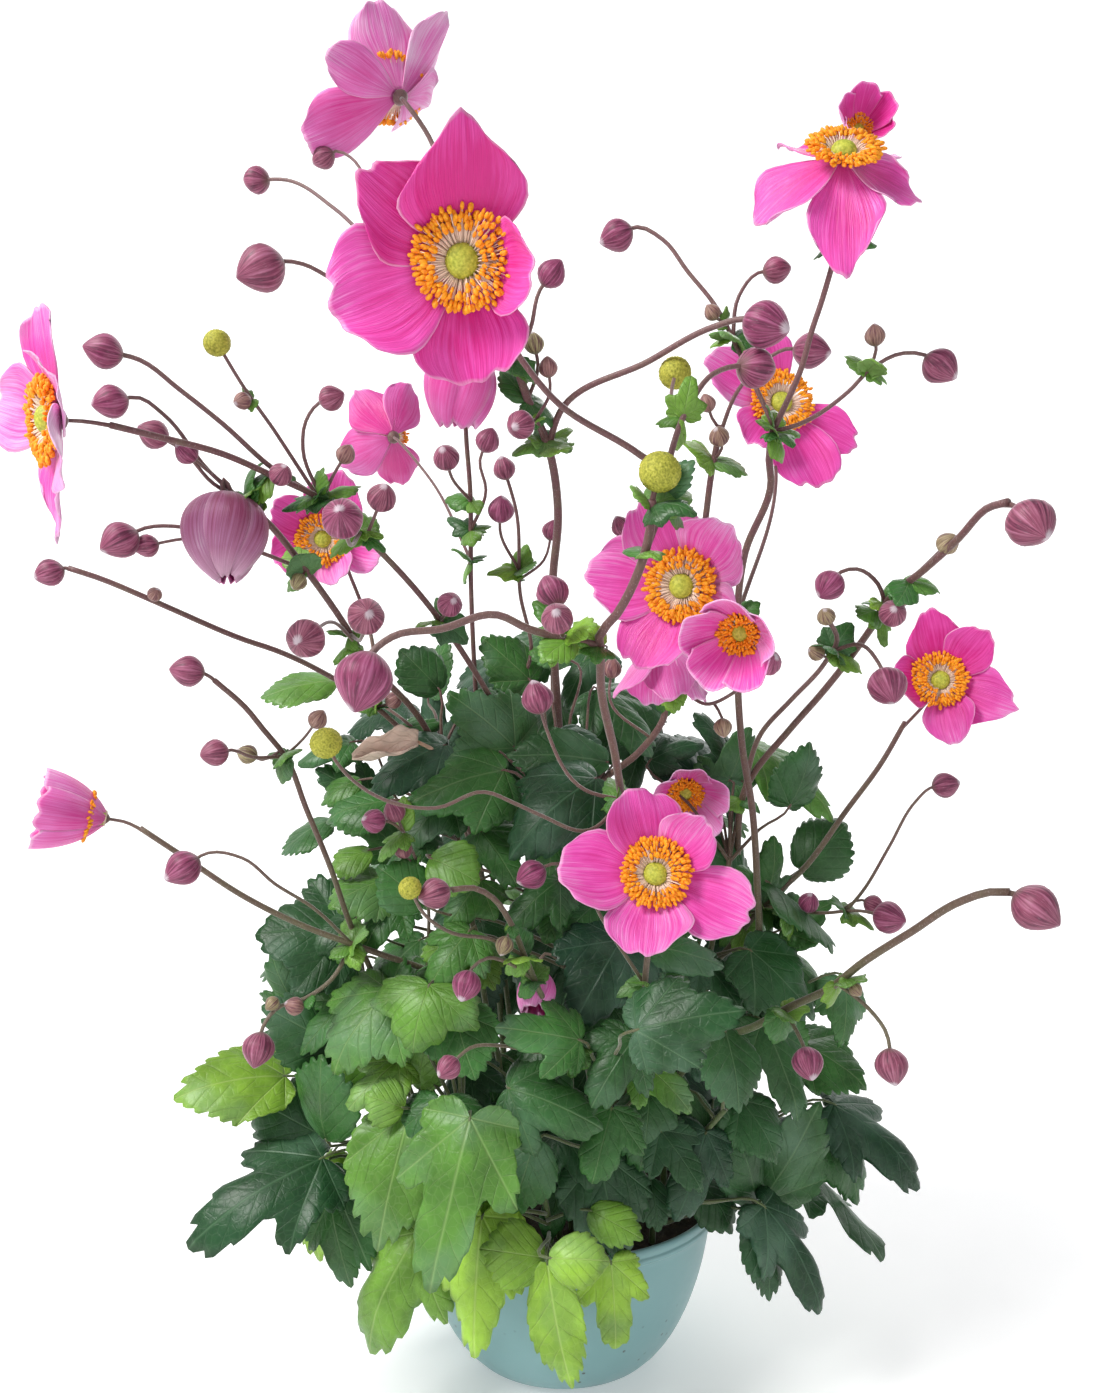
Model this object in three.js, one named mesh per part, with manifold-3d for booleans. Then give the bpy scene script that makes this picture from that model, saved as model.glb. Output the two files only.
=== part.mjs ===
// Potted Japanese anemone: a bowl-shaped plastic pot with soil, leafy stems, flower stalks with
// buds and seed heads, and open blooms. Millimetres, +Z up, origin at the centre of the pot's base.
import * as THREE from 'three';
import { mergeVertices } from 'three/addons/utils/BufferGeometryUtils.js';
import Module from 'manifold-3d';

const wasm = await Module();
wasm.setup();

// Driving dimensions

const GAP = 0.3;
const POT = {
  rimRadius: 82, height: 84, footRadius: 40, bodyRadius: 78.5, bulge: 1.74,
  wall: 2.2, floor: 3, rimHeight: 8, facets: 24, drainHoles: 4, drainRadius: 4, drainCircle: 24,
};
const SOIL = { edge: 73, crown: 77, rootDepth: 16, holeSides: 5 };
const BLADE = 0.9;
const FRONT_BIAS = 0.75;
const PETAL = 0.8;
const BLOOM_BASE = 3;
const PETAL_TILT = 0.24;
const STEM_SIDES = 4;
const PEDICEL_SIDES = 3;
const LEAFY_STEM = 1.7;
const STRAIGHT = 2.2;
const SHIFTS = [0, 6, -6, 12, -12, 18, -18, 24, -24, 32, -32, 40, -40];

// The plant is laid out as it is seen from one viewpoint. A place is [x, y] in the picture,
// in its 1114 x 1393 frame, with a depth in mm from the viewpoint.
const VIEW = { focal: 1150, centreX: 557, centreY: 696.5, distance: 615, eye: 345, side: -3.3 };

// Blooms: heart centre as seen, depth, petal length, facing direction, and for each petal
// its turn in degrees, length and width as shares of the petal length, lift and curl in degrees.
const BLOOMS = {
  "large": {"seen": [463, 262], "depth": 400, "reach": 44, "facing": [0.05, -0.95, -0.28], "heart": 1,
    "petals": [[90, 1.06, 0.98, 22, -6], [141, 0.98, 0.8, 10, 4], [202, 1.06, 1.0, 10, 0],
      [277, 0.88, 0.9, 9, 0], [350, 0.84, 0.68, 34, 40]]},
  "nodding": {"seen": [463, 346], "depth": 478, "reach": 36, "facing": [-0.1, 0.25, -0.95], "cup": 1, "heart": 0,
    "petals": [[20, 1, 0.8, 36, 40], [110, 1, 0.8, 62, 16], [190, 1, 0.8, 66, 16], [280, 1, 0.85, 62, 16]]},
  "top_left": {"seen": [399, 96], "depth": 500, "reach": 38, "facing": [-0.42, 0.6, 0.68], "heart": 1,
    "petals": [[70, 1.0, 0.85, 40, 8], [320, 1.15, 0.68, 0, 6], [11, 0.9, 0.5, -8, 20],
      [192, 0.62, 0.85, 24, 30], [124, 1.2, 0.5, 34, 0]]},
  "top_right": {"seen": [842, 160], "depth": 440, "reach": 36, "facing": [0, -0.78, 0.62], "heart": 1,
    "petals": [[198, 1.02, 0.9, -22, -26], [270, 1.3, 0.78, -22, -20], [342, 0.9, 0.7, -18, -6],
      [50, 0.85, 0.7, -10, -10], [120, 0.85, 0.7, -12, -10]]},
  "cup_top": {"seen": [858, 130], "depth": 512, "reach": 21, "facing": [0.05, -0.8, 0.55], "cup": 1, "heart": 1,
    "petals": [[20, 1, 0.95, 44, 26], [92, 1, 0.95, 50, 20], [164, 1, 0.95, 50, 20],
      [236, 1, 0.95, 50, 20], [308, 1, 0.95, 50, 20]]},
  "far_left": {"seen": [58, 420], "depth": 420, "reach": 40, "facing": [-0.76, -0.64, -0.1], "heart": 1,
    "petals": [[92, 1.0, 0.6, 6, -8], [24, 0.66, 0.85, 12, 16], [322, 0.9, 0.75, 14, 4],
      [258, 1.1, 0.75, 4, -4], [160, 0.95, 0.8, 12, 8]]},
  "turned_away": {"seen": [393, 437], "depth": 640, "reach": 35, "facing": [-0.3, 0.88, 0.3], "heart": 0,
    "petals": [[50, 1.0, 0.8, 34, 8], [112, 0.95, 0.7, 28, 8], [325, 1, 0.75, 30, 8], [250, 0.95, 0.7, 30, 8]]},
  "left_behind": {"seen": [325, 538], "depth": 566, "reach": 32, "facing": [-0.12, -0.93, -0.25], "heart": 1,
    "petals": [[66, 1.1, 0.9, 14, 6], [138, 0.9, 0.7, 30, 8], [205, 0.8, 0.75, 24, 8],
      [288, 0.7, 0.8, 24, 6], [350, 0.95, 0.85, 12, 6]]},
  "middle": {"seen": [684, 587], "depth": 448, "reach": 36, "facing": [-0.35, -0.93, 0.02], "heart": 1,
    "petals": [[110, 1.0, 0.85, 14, 4], [172, 1.04, 0.9, 8, 0], [244, 0.95, 0.8, 14, 4],
      [316, 0.85, 0.75, 20, 4], [42, 0.95, 0.85, 24, 24]]},
  "hanging": {"seen": [662, 642], "depth": 492, "reach": 34, "facing": [0.02, -0.1, -0.98], "heart": 0,
    "petals": [[192, 0.9, 0.75, 52, 16], [330, 1.0, 0.75, 42, 10], [80, 0.9, 0.8, 50, 16], [262, 1.0, 0.66, 47, 10]]},
  "cup_middle": {"seen": [741, 632], "depth": 408, "reach": 26, "facing": [-0.42, -0.82, -0.35], "cup": 1, "heart": 1,
    "petals": [[10, 1, 0.95, 38, 30], [82, 1, 0.95, 54, 24], [154, 1, 0.9, 50, 24],
      [226, 1, 0.95, 50, 24], [298, 1, 0.95, 54, 24]]},
  "right": {"seen": [941, 681], "depth": 640, "reach": 38, "facing": [-0.42, -0.88, 0.12], "heart": 1,
    "petals": [[100, 1.05, 0.8, 12, 0], [46, 0.95, 0.7, 18, 6], [338, 1.1, 0.86, 8, 0],
      [286, 0.95, 0.75, 14, 0], [190, 0.8, 0.8, 32, 40]]},
  "cup_low": {"seen": [685, 792], "depth": 600, "reach": 30, "facing": [0.02, -0.94, -0.3], "cup": 1, "heart": 1,
    "petals": [[90, 1.05, 1.05, 34, 32], [162, 1, 0.95, 52, 22], [234, 1, 0.9, 48, 22],
      [306, 1, 0.9, 48, 22], [18, 1, 0.95, 56, 22]]},
  "front": {"seen": [655, 876], "depth": 486, "reach": 37, "facing": [-0.02, -0.9, 0.38], "heart": 1,
    "petals": [[178, 1.08, 0.95, 8, 4], [104, 0.98, 0.9, 22, 6], [41, 0.94, 0.7, 26, 40],
      [332, 1.12, 0.84, 12, 0], [262, 0.92, 0.95, 12, 0]]},
  "cup_left": {"seen": [102, 818], "depth": 517, "reach": 34, "facing": [-0.86, -0.36, 0.2], "cup": 1, "heart": 1,
    "petals": [[0, 1, 0.95, 36, 50], [72, 1, 0.95, 56, 24], [144, 1, 0.95, 56, 24],
      [216, 1, 0.95, 56, 24], [288, 1, 0.9, 56, 24]]},
  "low": {"seen": [539, 976], "depth": 520, "reach": 20, "facing": [-0.1, -0.6, -0.75], "cup": 1, "heart": 0,
    "petals": [[150, 1, 0.95, 56, 20], [240, 1, 0.9, 56, 20], [330, 1, 0.9, 56, 20]]},
  "right_behind": {"seen": [779, 405], "depth": 610, "reach": 42, "facing": [0.12, -0.95, 0.1], "heart": 1,
    "petals": [[152, 1.08, 0.8, 10, 0], [112, 0.9, 0.7, 20, 0], [232, 0.8, 0.7, 20, 6],
      [291, 1.12, 0.8, 8, 0], [330, 1.05, 0.6, 8, -6]]},
  "opening": {"seen": [224, 500], "depth": 470, "reach": 37, "facing": [0.08, -0.2, -0.97], "cup": 1, "heart": 0,
    "petals": [[20, 1, 0.9, 22, 100], [92, 1, 0.9, 40, 66], [164, 1, 0.9, 40, 66],
      [236, 1, 0.95, 40, 66], [308, 1, 0.95, 40, 66]]},
};

// Flower stalks. "hole" is where the stalk stands in the soil, "stem" is its radius and its
// places [x, y, depth] from the lowest one seen to the top. Each twig starts on an earlier line:
// "r" radius, "d" depths at its two ends, "at" its [x, y] places, and what it ends in:
// "bud" or "seed" as wide as seen, or the name of a bloom.
const STALKS = {
  "left_tall": {"hole": [-30, 2], "r": 1.7,
    "stem": [[455, 790, 592], [420, 719, 570], [361, 652, 540], [348, 630, 532], [306, 570, 510],
      [271, 526, 492], [235, 494, 474]],
    "twigs": [
      {"r": 1.1, "depth": 470, "at": [[243, 498], [231, 492], [224, 496]], "bloom": "opening"},
      {"r": 0.9, "depth": 462, "at": [[243, 500], [212, 474], [194, 459], [186, 452]], "bud": 24},
      {"r": 1.0, "depth": 452, "at": [[258, 514], [208, 470], [163, 414], [140, 398], [110, 402]], "bud": 34},
      {"r": 0.9, "depth": 455, "at": [[243, 500], [214, 484], [180, 448], [153, 434]], "bud": 30},
      {"r": 1.0, "depth": 478, "at": [[306, 570], [240, 545], [182, 527], [145, 528], [119, 541]], "bud": 38},
      {"r": 0.8, "depth": 484, "at": [[215, 538], [175, 540], [146, 546]], "bud": 24},
      {"r": 0.9, "depth": 470, "at": [[351, 634], [358, 640], [366, 616]], "bud": 38},
      {"r": 0.9, "depth": 466, "at": [[356, 642], [332, 622], [305, 639]], "bud": 40},
    ]},
  "left_bloom": {"hole": [-16, 8], "r": 1.5,
    "stem": [[515, 745, 590], [480, 680, 562], [440, 620, 538], [400, 572, 516], [360, 532, 502],
      [322, 500, 488], [271, 475, 470], [223, 454, 456], [159, 437, 440], [110, 425, 428]],
    "twigs": [
      {"r": 0.9, "depth": 421, "at": [[115, 426], [80, 423]], "bloom": "far_left"},
      {"r": 1.2, "depth": 448, "at": [[316, 497], [271, 467], [223, 424], [179, 389], [140, 360], [103, 351]],
        "bud": 36},
      {"r": 0.9, "depth": 460, "at": [[318, 498], [293, 459], [274, 430], [245, 389], [217, 343]], "seed": 27},
      {"r": 0.9, "depth": 474, "at": [[322, 500], [303, 449], [306, 421], [319, 403], [332, 398]], "bud": 26},
      {"r": 0.9, "depth": 464, "at": [[271, 475], [276, 481], [281, 474]], "bud": 24},
      {"r": 1.0, "depth": 448, "at": [[360, 532], [352, 545], [342, 518]], "bud": 42},
      {"r": 0.9, "depth": 488, "at": [[366, 538], [374, 518], [382, 497]], "bud": 30},
      {"r": 0.9, "depth": 520, "at": [[440, 620], [444, 616], [450, 604]], "bud": 26},
    ]},
  "left_low": {"hole": [-44, 8], "r": 1.4,
    "stem": [[430, 762, 590], [372, 704, 566], [324, 673, 546], [275, 650, 528], [245, 640, 520],
      [172, 609, 500], [147, 598, 494], [96, 577, 486], [68, 568, 482]],
    "twigs": [
      {"r": 0.9, "depth": 480, "at": [[80, 572], [65, 568], [49, 573]], "bud": 28},
      {"r": 1.1, "depth": 575, "at": [[376, 706], [372, 640], [352, 580], [334, 552]], "bloom": "left_behind"},
    ]},
  "left_mid": {"hole": [-52, -18], "r": 1.4,
    "stem": [[378, 985, 562], [349, 921, 545], [331, 869, 535], [306, 808, 522], [285, 756, 512],
      [263, 729, 505], [245, 707, 500], [214, 680, 493]],
    "twigs": [
      {"r": 0.9, "depth": 490, "at": [[223, 687], [203, 673], [187, 671]], "bud": 32},
      {"r": 0.9, "depth": 490, "at": [[285, 756], [252, 757], [232, 750], [214, 753]], "bud": 28},
    ]},
  "left_cup": {"hole": [-36, -32], "r": 1.5,
    "stem": [[470, 1000, 560], [428, 971, 552], [383, 955, 546], [352, 944, 541], [306, 927, 536],
      [245, 897, 530], [184, 857, 524], [140, 828, 520]],
    "twigs": [
      {"r": 0.9, "depth": 519, "at": [[150, 834], [124, 818]], "bloom": "cup_left"},
      {"r": 0.9, "depth": 508, "at": [[352, 944], [312, 907], [275, 884], [242, 858], [208, 853], [182, 869]],
        "bud": 36},
      {"r": 1.1, "depth": 520, "at": [[352, 944], [331, 980], [306, 998], [275, 1010], [263, 1027], [258, 1050]],
        "bud": 33},
      {"r": 0.9, "depth": 530, "at": [[428, 971], [424, 880], [412, 850], [400, 824], [394, 811]], "bud": 23},
      {"r": 0.8, "depth": 520, "at": [[404, 832], [390, 822], [373, 821]], "bud": 25},
    ]},
  "centre_front": {"hole": [6, -26], "r": 1.9,
    "stem": [[640, 900, 556], [622, 800, 500], [615, 755, 476], [601, 688, 446], [600, 648, 428],
      [599, 637, 425], [617, 614, 420], [636, 578, 414], [650, 530, 408], [652, 500, 404]],
    "twigs": [
      {"r": 1.1, "depth": 401, "at": [[652, 505], [655, 488], [660, 472]], "seed": 42},
      {"r": 1.6, "depth": 402, "at": [[600, 646], [564, 638], [529, 629], [498, 615], [441, 629], [392, 637],
        [372, 653], [363, 682]], "bud": 60},
      {"r": 1.4, "depth": 420, "at": [[644, 552], [662, 505], [668, 478], [640, 455], [560, 405], [500, 372]],
        "bloom": "large"},
      {"r": 1.3, "depth": 452, "at": [[664, 500], [672, 450], [693, 399], [713, 374], [736, 366], [757, 368]],
        "bud": 41},
      {"r": 0.9, "depth": 470, "at": [[684, 418], [672, 400], [675, 373]], "seed": 32},
      {"r": 0.9, "depth": 410, "at": [[564, 638], [560, 630], [557, 618]], "bud": 33},
      {"r": 0.9, "depth": 432, "at": [[574, 640], [562, 612], [552, 591]], "bud": 34},
      {"r": 0.9, "depth": 466, "at": [[622, 800], [590, 830], [540, 815], [514, 803], [485, 792], [436, 808],
        [376, 796], [335, 760], [326, 743]], "seed": 32},
      {"r": 0.9, "depth": 496, "at": [[622, 800], [585, 790], [545, 725], [537, 697]], "bud": 33},
    ]},
  "centre_right": {"hole": [14, -10], "r": 1.7,
    "stem": [[606, 900, 585], [597, 786, 548], [639, 752, 536], [663, 720, 528], [671, 680, 522],
      [690, 610, 530], [704, 530, 530], [712, 470, 524], [721, 425, 518]],
    "twigs": [
      {"r": 1.0, "depth": 500, "at": [[718, 440], [739, 389], [761, 364], [786, 349], [812, 351]], "bud": 36},
      {"r": 0.8, "depth": 512, "at": [[714, 460], [722, 448], [719, 436]], "bud": 21},
      {"r": 1.1, "depth": 452, "at": [[672, 676], [700, 650], [698, 605]], "bloom": "middle"},
      {"r": 1.0, "depth": 412, "at": [[672, 676], [716, 680], [752, 640]], "bloom": "cup_middle"},
      {"r": 1.0, "depth": 492, "at": [[676, 660], [664, 634]], "bloom": "hanging"},
      {"r": 0.9, "depth": 508, "at": [[671, 682], [664, 690], [659, 681]], "bud": 23},
      {"r": 0.9, "depth": 440, "at": [[672, 676], [706, 704], [738, 690], [769, 662]], "bud": 27},
      {"r": 0.8, "depth": 526, "at": [[700, 548], [660, 540], [628, 538], [621, 526]], "bud": 21},
    ]},
  "right_tall": {"hole": [28, 0], "r": 1.8,
    "stem": [[758, 950, 600], [757, 882, 585], [752, 807, 566], [742, 745, 550], [738, 690, 540],
      [745, 553, 512], [771, 480, 488], [769, 460, 482], [774, 427, 474]],
    "twigs": [
      {"r": 1.3, "depth": 446, "at": [[774, 430], [802, 366], [812, 330], [823, 297], [840, 215], [843, 180]],
        "bloom": "top_right"},
      {"r": 0.9, "depth": 512, "at": [[836, 240], [856, 205], [858, 165]], "bloom": "cup_top"},
      {"r": 1.0, "depth": 466, "at": [[774, 432], [797, 425], [848, 392], [871, 369], [904, 353], [925, 355],
        [941, 367]], "bud": 36},
      {"r": 0.8, "depth": 466, "at": [[868, 372], [876, 350], [875, 335]], "bud": 21},
      {"r": 1.1, "depth": 488, "at": [[774, 427], [741, 356], [714, 304], [688, 272], [662, 239], [637, 227],
        [616, 236]], "bud": 33},
      {"r": 0.9, "depth": 478, "at": [[733, 338], [739, 296], [758, 273], [777, 270]], "bud": 27},
      {"r": 1.1, "depth": 622, "at": [[741, 620], [776, 480], [788, 425]], "bloom": "right_behind"},
    ]},
  "right_high": {"hole": [40, 12], "r": 1.8,
    "stem": [[735, 880, 612], [745, 790, 590], [791, 728, 560], [821, 694, 545], [855, 651, 526],
      [876, 621, 512], [890, 598, 500], [925, 569, 480], [959, 538, 460], [986, 509, 445], [1008, 502, 432]],
    "twigs": [
      {"r": 1.2, "depth": 421, "at": [[996, 505], [1012, 505], [1032, 524]], "bud": 50},
      {"r": 0.9, "depth": 468, "at": [[910, 582], [936, 555], [948, 543]], "bud": 23},
      {"r": 1.0, "depth": 492, "at": [[886, 605], [878, 584], [857, 569], [841, 572], [829, 586]], "bud": 31},
      {"r": 0.9, "depth": 492, "at": [[880, 614], [890, 618], [893, 613]], "bud": 28},
      {"r": 1.4, "depth": 506, "at": [[745, 800], [762, 732], [791, 700], [824, 664], [837, 640], [826, 616]],
        "bud": 19},
      {"r": 1.0, "depth": 492, "at": [[832, 650], [862, 645], [878, 662], [888, 687]], "bud": 40},
    ]},
  "right_bloom": {"hole": [54, 4], "r": 1.7,
    "stem": [[690, 990, 612], [728, 949, 606], [760, 909, 610], [806, 866, 618], [846, 811, 626],
      [882, 762, 634], [905, 722, 640]],
    "twigs": [
      {"r": 1.0, "depth": 648, "at": [[900, 730], [925, 704], [944, 692]], "bloom": "right"},
      {"r": 1.0, "depth": 560, "at": [[764, 906], [821, 913], [861, 911], [890, 918]], "bud": 33},
      {"r": 0.9, "depth": 590, "at": [[790, 911], [804, 916], [809, 902]], "bud": 21},
      {"r": 0.9, "depth": 566, "at": [[846, 912], [862, 892], [889, 847], [916, 801], [930, 788], [946, 785]],
        "bud": 26},
      {"r": 1.1, "depth": 604, "at": [[745, 928], [712, 880], [694, 815]], "bloom": "cup_low"},
    ]},
  "right_low": {"hole": [36, -34], "r": 1.8,
    "stem": [[716, 1040, 548], [753, 1027, 530], [792, 1006, 512], [832, 987, 496], [858, 966, 486],
      [911, 932, 466], [964, 900, 448], [990, 892, 442], [1010, 892, 438]],
    "twigs": [
      {"r": 1.3, "depth": 434, "at": [[1000, 891], [1018, 895], [1037, 909]], "bud": 48},
      {"r": 1.0, "depth": 498, "at": [[784, 1010], [796, 1030], [803, 1045], [808, 1064]], "bud": 32},
      {"r": 1.0, "depth": 482, "at": [[838, 984], [869, 1009], [885, 1030], [892, 1067]], "bud": 34},
    ]},
  "front_low": {"hole": [-2, -44], "r": 1.4,
    "stem": [[590, 1090, 552], [576, 1043, 520], [544, 1000, 508], [527, 962, 500], [509, 920, 492],
      [493, 898, 486], [474, 888, 482], [452, 890, 478]],
    "twigs": [
      {"r": 0.9, "depth": 474, "at": [[464, 888], [448, 889], [434, 894]], "bud": 32},
      {"r": 0.9, "depth": 470, "at": [[524, 956], [490, 939], [452, 933], [424, 914], [410, 888]], "seed": 23},
      {"r": 0.9, "depth": 486, "at": [[535, 980], [506, 962], [488, 958], [472, 968], [466, 986]], "bud": 30},
      {"r": 0.9, "depth": 484, "at": [[574, 1044], [540, 1052], [503, 1046], [470, 1048], [448, 1068]],
        "bud": 25},
      {"r": 1.7, "depth": 494, "at": [[598, 1130], [650, 1060], [645, 985], [650, 935], [656, 890]],
        "bloom": "front"},
      {"r": 0.9, "depth": 500, "at": [[645, 985], [600, 915], [575, 868], [552, 864], [531, 875]], "bud": 30},
      {"r": 0.9, "depth": 526, "at": [[648, 1020], [590, 985], [548, 962]], "bloom": "low"},
    ]},
  "centre_tall": {"hole": [-6, -6], "r": 2.1,
    "stem": [[560, 760, 600], [553, 577, 540], [558, 510, 520], [546, 440, 500], [528, 400, 490],
      [512, 355, 478], [490, 320, 470]],
    "twigs": [
      {"r": 1.5, "depth": 438, "at": [[548, 447], [560, 412], [649, 361], [713, 327], [744, 319], [767, 325]],
        "bud": 48},
      {"r": 1.0, "depth": 470, "at": [[514, 360], [530, 330], [540, 290], [552, 273]], "bud": 29},
      {"r": 0.9, "depth": 486, "at": [[528, 400], [538, 366], [534, 343]], "bud": 21},
      {"r": 1.3, "depth": 500, "at": [[490, 320], [450, 230], [425, 130], [408, 108]], "bloom": "top_left"},
      {"r": 1.0, "depth": 440, "at": [[494, 324], [400, 300], [333, 279], [303, 264], [282, 261], [260, 269]],
        "bud": 48},
      {"r": 1.0, "depth": 520, "at": [[470, 272], [376, 245], [335, 209], [287, 180], [256, 180]], "bud": 27},
      {"r": 0.8, "depth": 505, "at": [[420, 258], [367, 180], [350, 157], [336, 151], [323, 158]], "bud": 23},
      {"r": 0.9, "depth": 476, "at": [[546, 440], [534, 420], [520, 425]], "bud": 29},
    ]},
  "centre_thin": {"hole": [-22, -12], "r": 1.3,
    "stem": [[478, 730, 602], [471, 586, 575], [470, 487, 555], [466, 434, 545], [466, 390, 520]],
    "twigs": [
      {"r": 0.9, "depth": 482, "at": [[466, 392], [468, 344]], "bloom": "nodding"},
      {"r": 0.9, "depth": 636, "at": [[471, 560], [430, 479], [402, 446]], "bloom": "turned_away"},
      {"r": 0.9, "depth": 530, "at": [[470, 500], [452, 478], [446, 457]], "bud": 27},
      {"r": 0.9, "depth": 540, "at": [[471, 530], [486, 490], [480, 460], [488, 440]], "bud": 25},
      {"r": 1.1, "depth": 566, "at": [[478, 720], [530, 660], [520, 592], [516, 510], [504, 468]], "bud": 23},
      {"r": 0.9, "depth": 560, "at": [[518, 570], [500, 530], [501, 509]], "bud": 27},
    ]},
};

// Leafy stems: "hole" in the soil, "top" of the stem in mm. Each leaf has its junction
// [x, y, depth], its tip [x, y, depth] as seen, its width as a share of its length, and its kind.
const LEAFY = {
  "left": {"hole": [-60, -12], "top": [-88, -42, 165], "young": 0, "leaves": [
    [[322, 1158, 545], [187, 1240, 522], 0.78, 0], [[330, 1140, 566], [250, 1100, 566], 0.9, 1],
    [[326, 1140, 562], [322, 1062, 552], 1.0, 1], [[328, 1168, 556], [373, 1265, 540], 0.62, 1],
    [[345, 1050, 568], [262, 1012, 560], 0.9, 1], [[345, 932, 572], [258, 930, 570], 1.25, 0]]},
  "left_young": {"hole": [-48, -34], "top": [-72, -62, 150], "young": 1, "leaves": [
    [[285, 1076, 560], [175, 1090, 545], 0.72, 0], [[333, 1152, 582], [316, 1262, 576], 0.55, 1],
    [[410, 1112, 525], [383, 1249, 508], 0.8, 0], [[404, 1108, 522], [366, 1096, 520], 1.3, 1]]},
  "front_left": {"hole": [-26, -54], "top": [-48, -84, 150], "young": 0, "leaves": [
    [[470, 1118, 500], [436, 1290, 486], 0.72, 0], [[418, 1232, 540], [357, 1350, 530], 0.95, 0],
    [[429, 985, 516], [412, 1050, 506], 1.5, 0], [[389, 990, 536], [330, 1068, 524], 1.05, 0]]},
  "front_young": {"hole": [-6, -64], "top": [-14, -88, 130], "young": 1, "leaves": [
    [[482, 1216, 516], [470, 1358, 500], 0.58, 0], [[547, 1262, 500], [562, 1390, 494], 0.48, 1],
    [[545, 1258, 502], [482, 1250, 496], 1.05, 1], [[549, 1258, 502], [606, 1262, 496], 0.95, 1],
    [[611, 1262, 522], [617, 1350, 514], 0.85, 0]]},
  "front": {"hole": [20, -60], "top": [18, -92, 172], "young": 0, "leaves": [
    [[508, 1088, 505], [600, 1118, 494], 0.95, 0], [[600, 1152, 534], [612, 1262, 522], 0.86, 0],
    [[535, 1140, 532], [515, 1214, 524], 0.95, 1], [[612, 1108, 520], [592, 1182, 508], 1.1, 0],
    [[634, 1038, 505], [588, 1100, 494], 1.05, 0], [[636, 1030, 505], [742, 1008, 500], 0.72, 0],
    [[580, 1040, 500], [500, 1032, 492], 0.9, 0], [[650, 1090, 545], [640, 1170, 535], 1.0, 1],
    [[552, 1110, 545], [540, 1190, 535], 1.1, 1]]},
  "front_high": {"hole": [4, -34], "top": [2, -72, 290], "young": 0, "leaves": [
    [[621, 940, 520], [572, 1022, 504], 0.95, 0], [[626, 945, 530], [722, 960, 525], 0.8, 0],
    [[596, 778, 525], [506, 842, 508], 0.85, 0], [[608, 762, 545], [509, 756, 540], 0.62, 1],
    [[504, 770, 545], [410, 800, 532], 0.85, 0], [[430, 858, 530], [480, 880, 520], 1.1, 1],
    [[425, 905, 534], [380, 868, 528], 1.0, 1], [[560, 880, 540], [505, 925, 528], 0.95, 0],
    [[540, 636, 600], [500, 700, 585], 0.95, 0], [[600, 690, 590], [650, 752, 575], 0.95, 0],
    [[470, 940, 540], [440, 1000, 530], 1.15, 0]]},
  "left_high": {"hole": [-28, -22], "top": [-62, -34, 320], "young": 0, "leaves": [
    [[445, 745, 575], [370, 786, 562], 0.85, 0], [[515, 748, 562], [452, 690, 560], 0.85, 0],
    [[385, 880, 560], [328, 905, 548], 1.15, 0], [[392, 800, 575], [326, 818, 572], 0.95, 1],
    [[335, 680, 580], [262, 700, 574], 0.8, 1], [[440, 690, 585], [400, 650, 585], 0.95, 1]]},
  "right": {"hole": [44, -46], "top": [76, -72, 150], "young": 0, "leaves": [
    [[756, 1202, 560], [724, 1108, 552], 0.62, 1], [[760, 1202, 560], [822, 1108, 552], 0.68, 0],
    [[757, 1206, 558], [768, 1300, 548], 0.6, 1], [[764, 1206, 560], [832, 1306, 552], 0.62, 0],
    [[706, 1132, 545], [676, 1220, 534], 0.9, 0], [[713, 1100, 562], [672, 1070, 560], 1.1, 0],
    [[725, 1030, 545], [740, 1110, 534], 0.9, 1]]},
  "right_high": {"hole": [56, -18], "top": [86, -22, 262], "young": 0, "leaves": [
    [[834, 1104, 604], [928, 1176, 596], 0.8, 0], [[826, 1112, 604], [862, 1204, 596], 0.8, 0],
    [[800, 1042, 610], [866, 1084, 604], 0.95, 0], [[762, 1020, 575], [796, 1118, 562], 0.8, 0],
    [[750, 950, 590], [812, 1020, 585], 0.85, 0], [[752, 744, 600], [834, 814, 590], 0.66, 0],
    [[742, 905, 600], [712, 838, 592], 1.0, 0], [[800, 870, 620], [850, 826, 625], 1.0, 1]]},
};

// Leafy stems at the back, where each leaf is placed by the rule in backLeaves.
const BACK_LEAFY = {
  "back_left": {"hole": [-44, 36], "top": [-78, 52, 255], "leaves": 6},
  "back": {"hole": [4, 54], "top": [6, 92, 265], "leaves": 6},
  "back_right": {"hole": [50, 30], "top": [84, 46, 225], "leaves": 6},
};

// Half outline of a leaf blade, from its junction round its right side to the tip,
// with the length along x as 1, and the places on the midrib.
const LOBED = {
  side: [[-0.1, 0.22], [0.14, 0.5], [0.42, 0.46], [0.48, 0.26], [0.76, 0.28]],
  rib: [[0.46, 0]],
};
const LEAFLET = {
  side: [[0.14, 0.3], [0.46, 0.5], [0.8, 0.28]],
  rib: [[0.5, 0]],
};

// Frames and small tools

const up = new THREE.Vector3(0, 0, 1);

function seen([x, y, depth]) {
  return new THREE.Vector3(
    VIEW.side + (x - VIEW.centreX) / VIEW.focal * depth,
    depth - VIEW.distance,
    VIEW.eye - (y - VIEW.centreY) / VIEW.focal * depth,
  );
}

// A point moved along its line of sight.
function moved(point, shift) {
  const eye = new THREE.Vector3(VIEW.side, -VIEW.distance, VIEW.eye);
  const depth = point.y + VIEW.distance;
  return point.clone().sub(eye).multiplyScalar((depth + shift) / depth).add(eye);
}

// The first place, out of the shifts along the line of sight, that is clear of earlier pieces.
function clearPlace(partAt, isClear) {
  const shift = SHIFTS.find((candidate) => isClear(partAt(candidate)(0)));
  if (shift === undefined) console.warn('   no clear place');
  return partAt(shift ?? 0);
}

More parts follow.
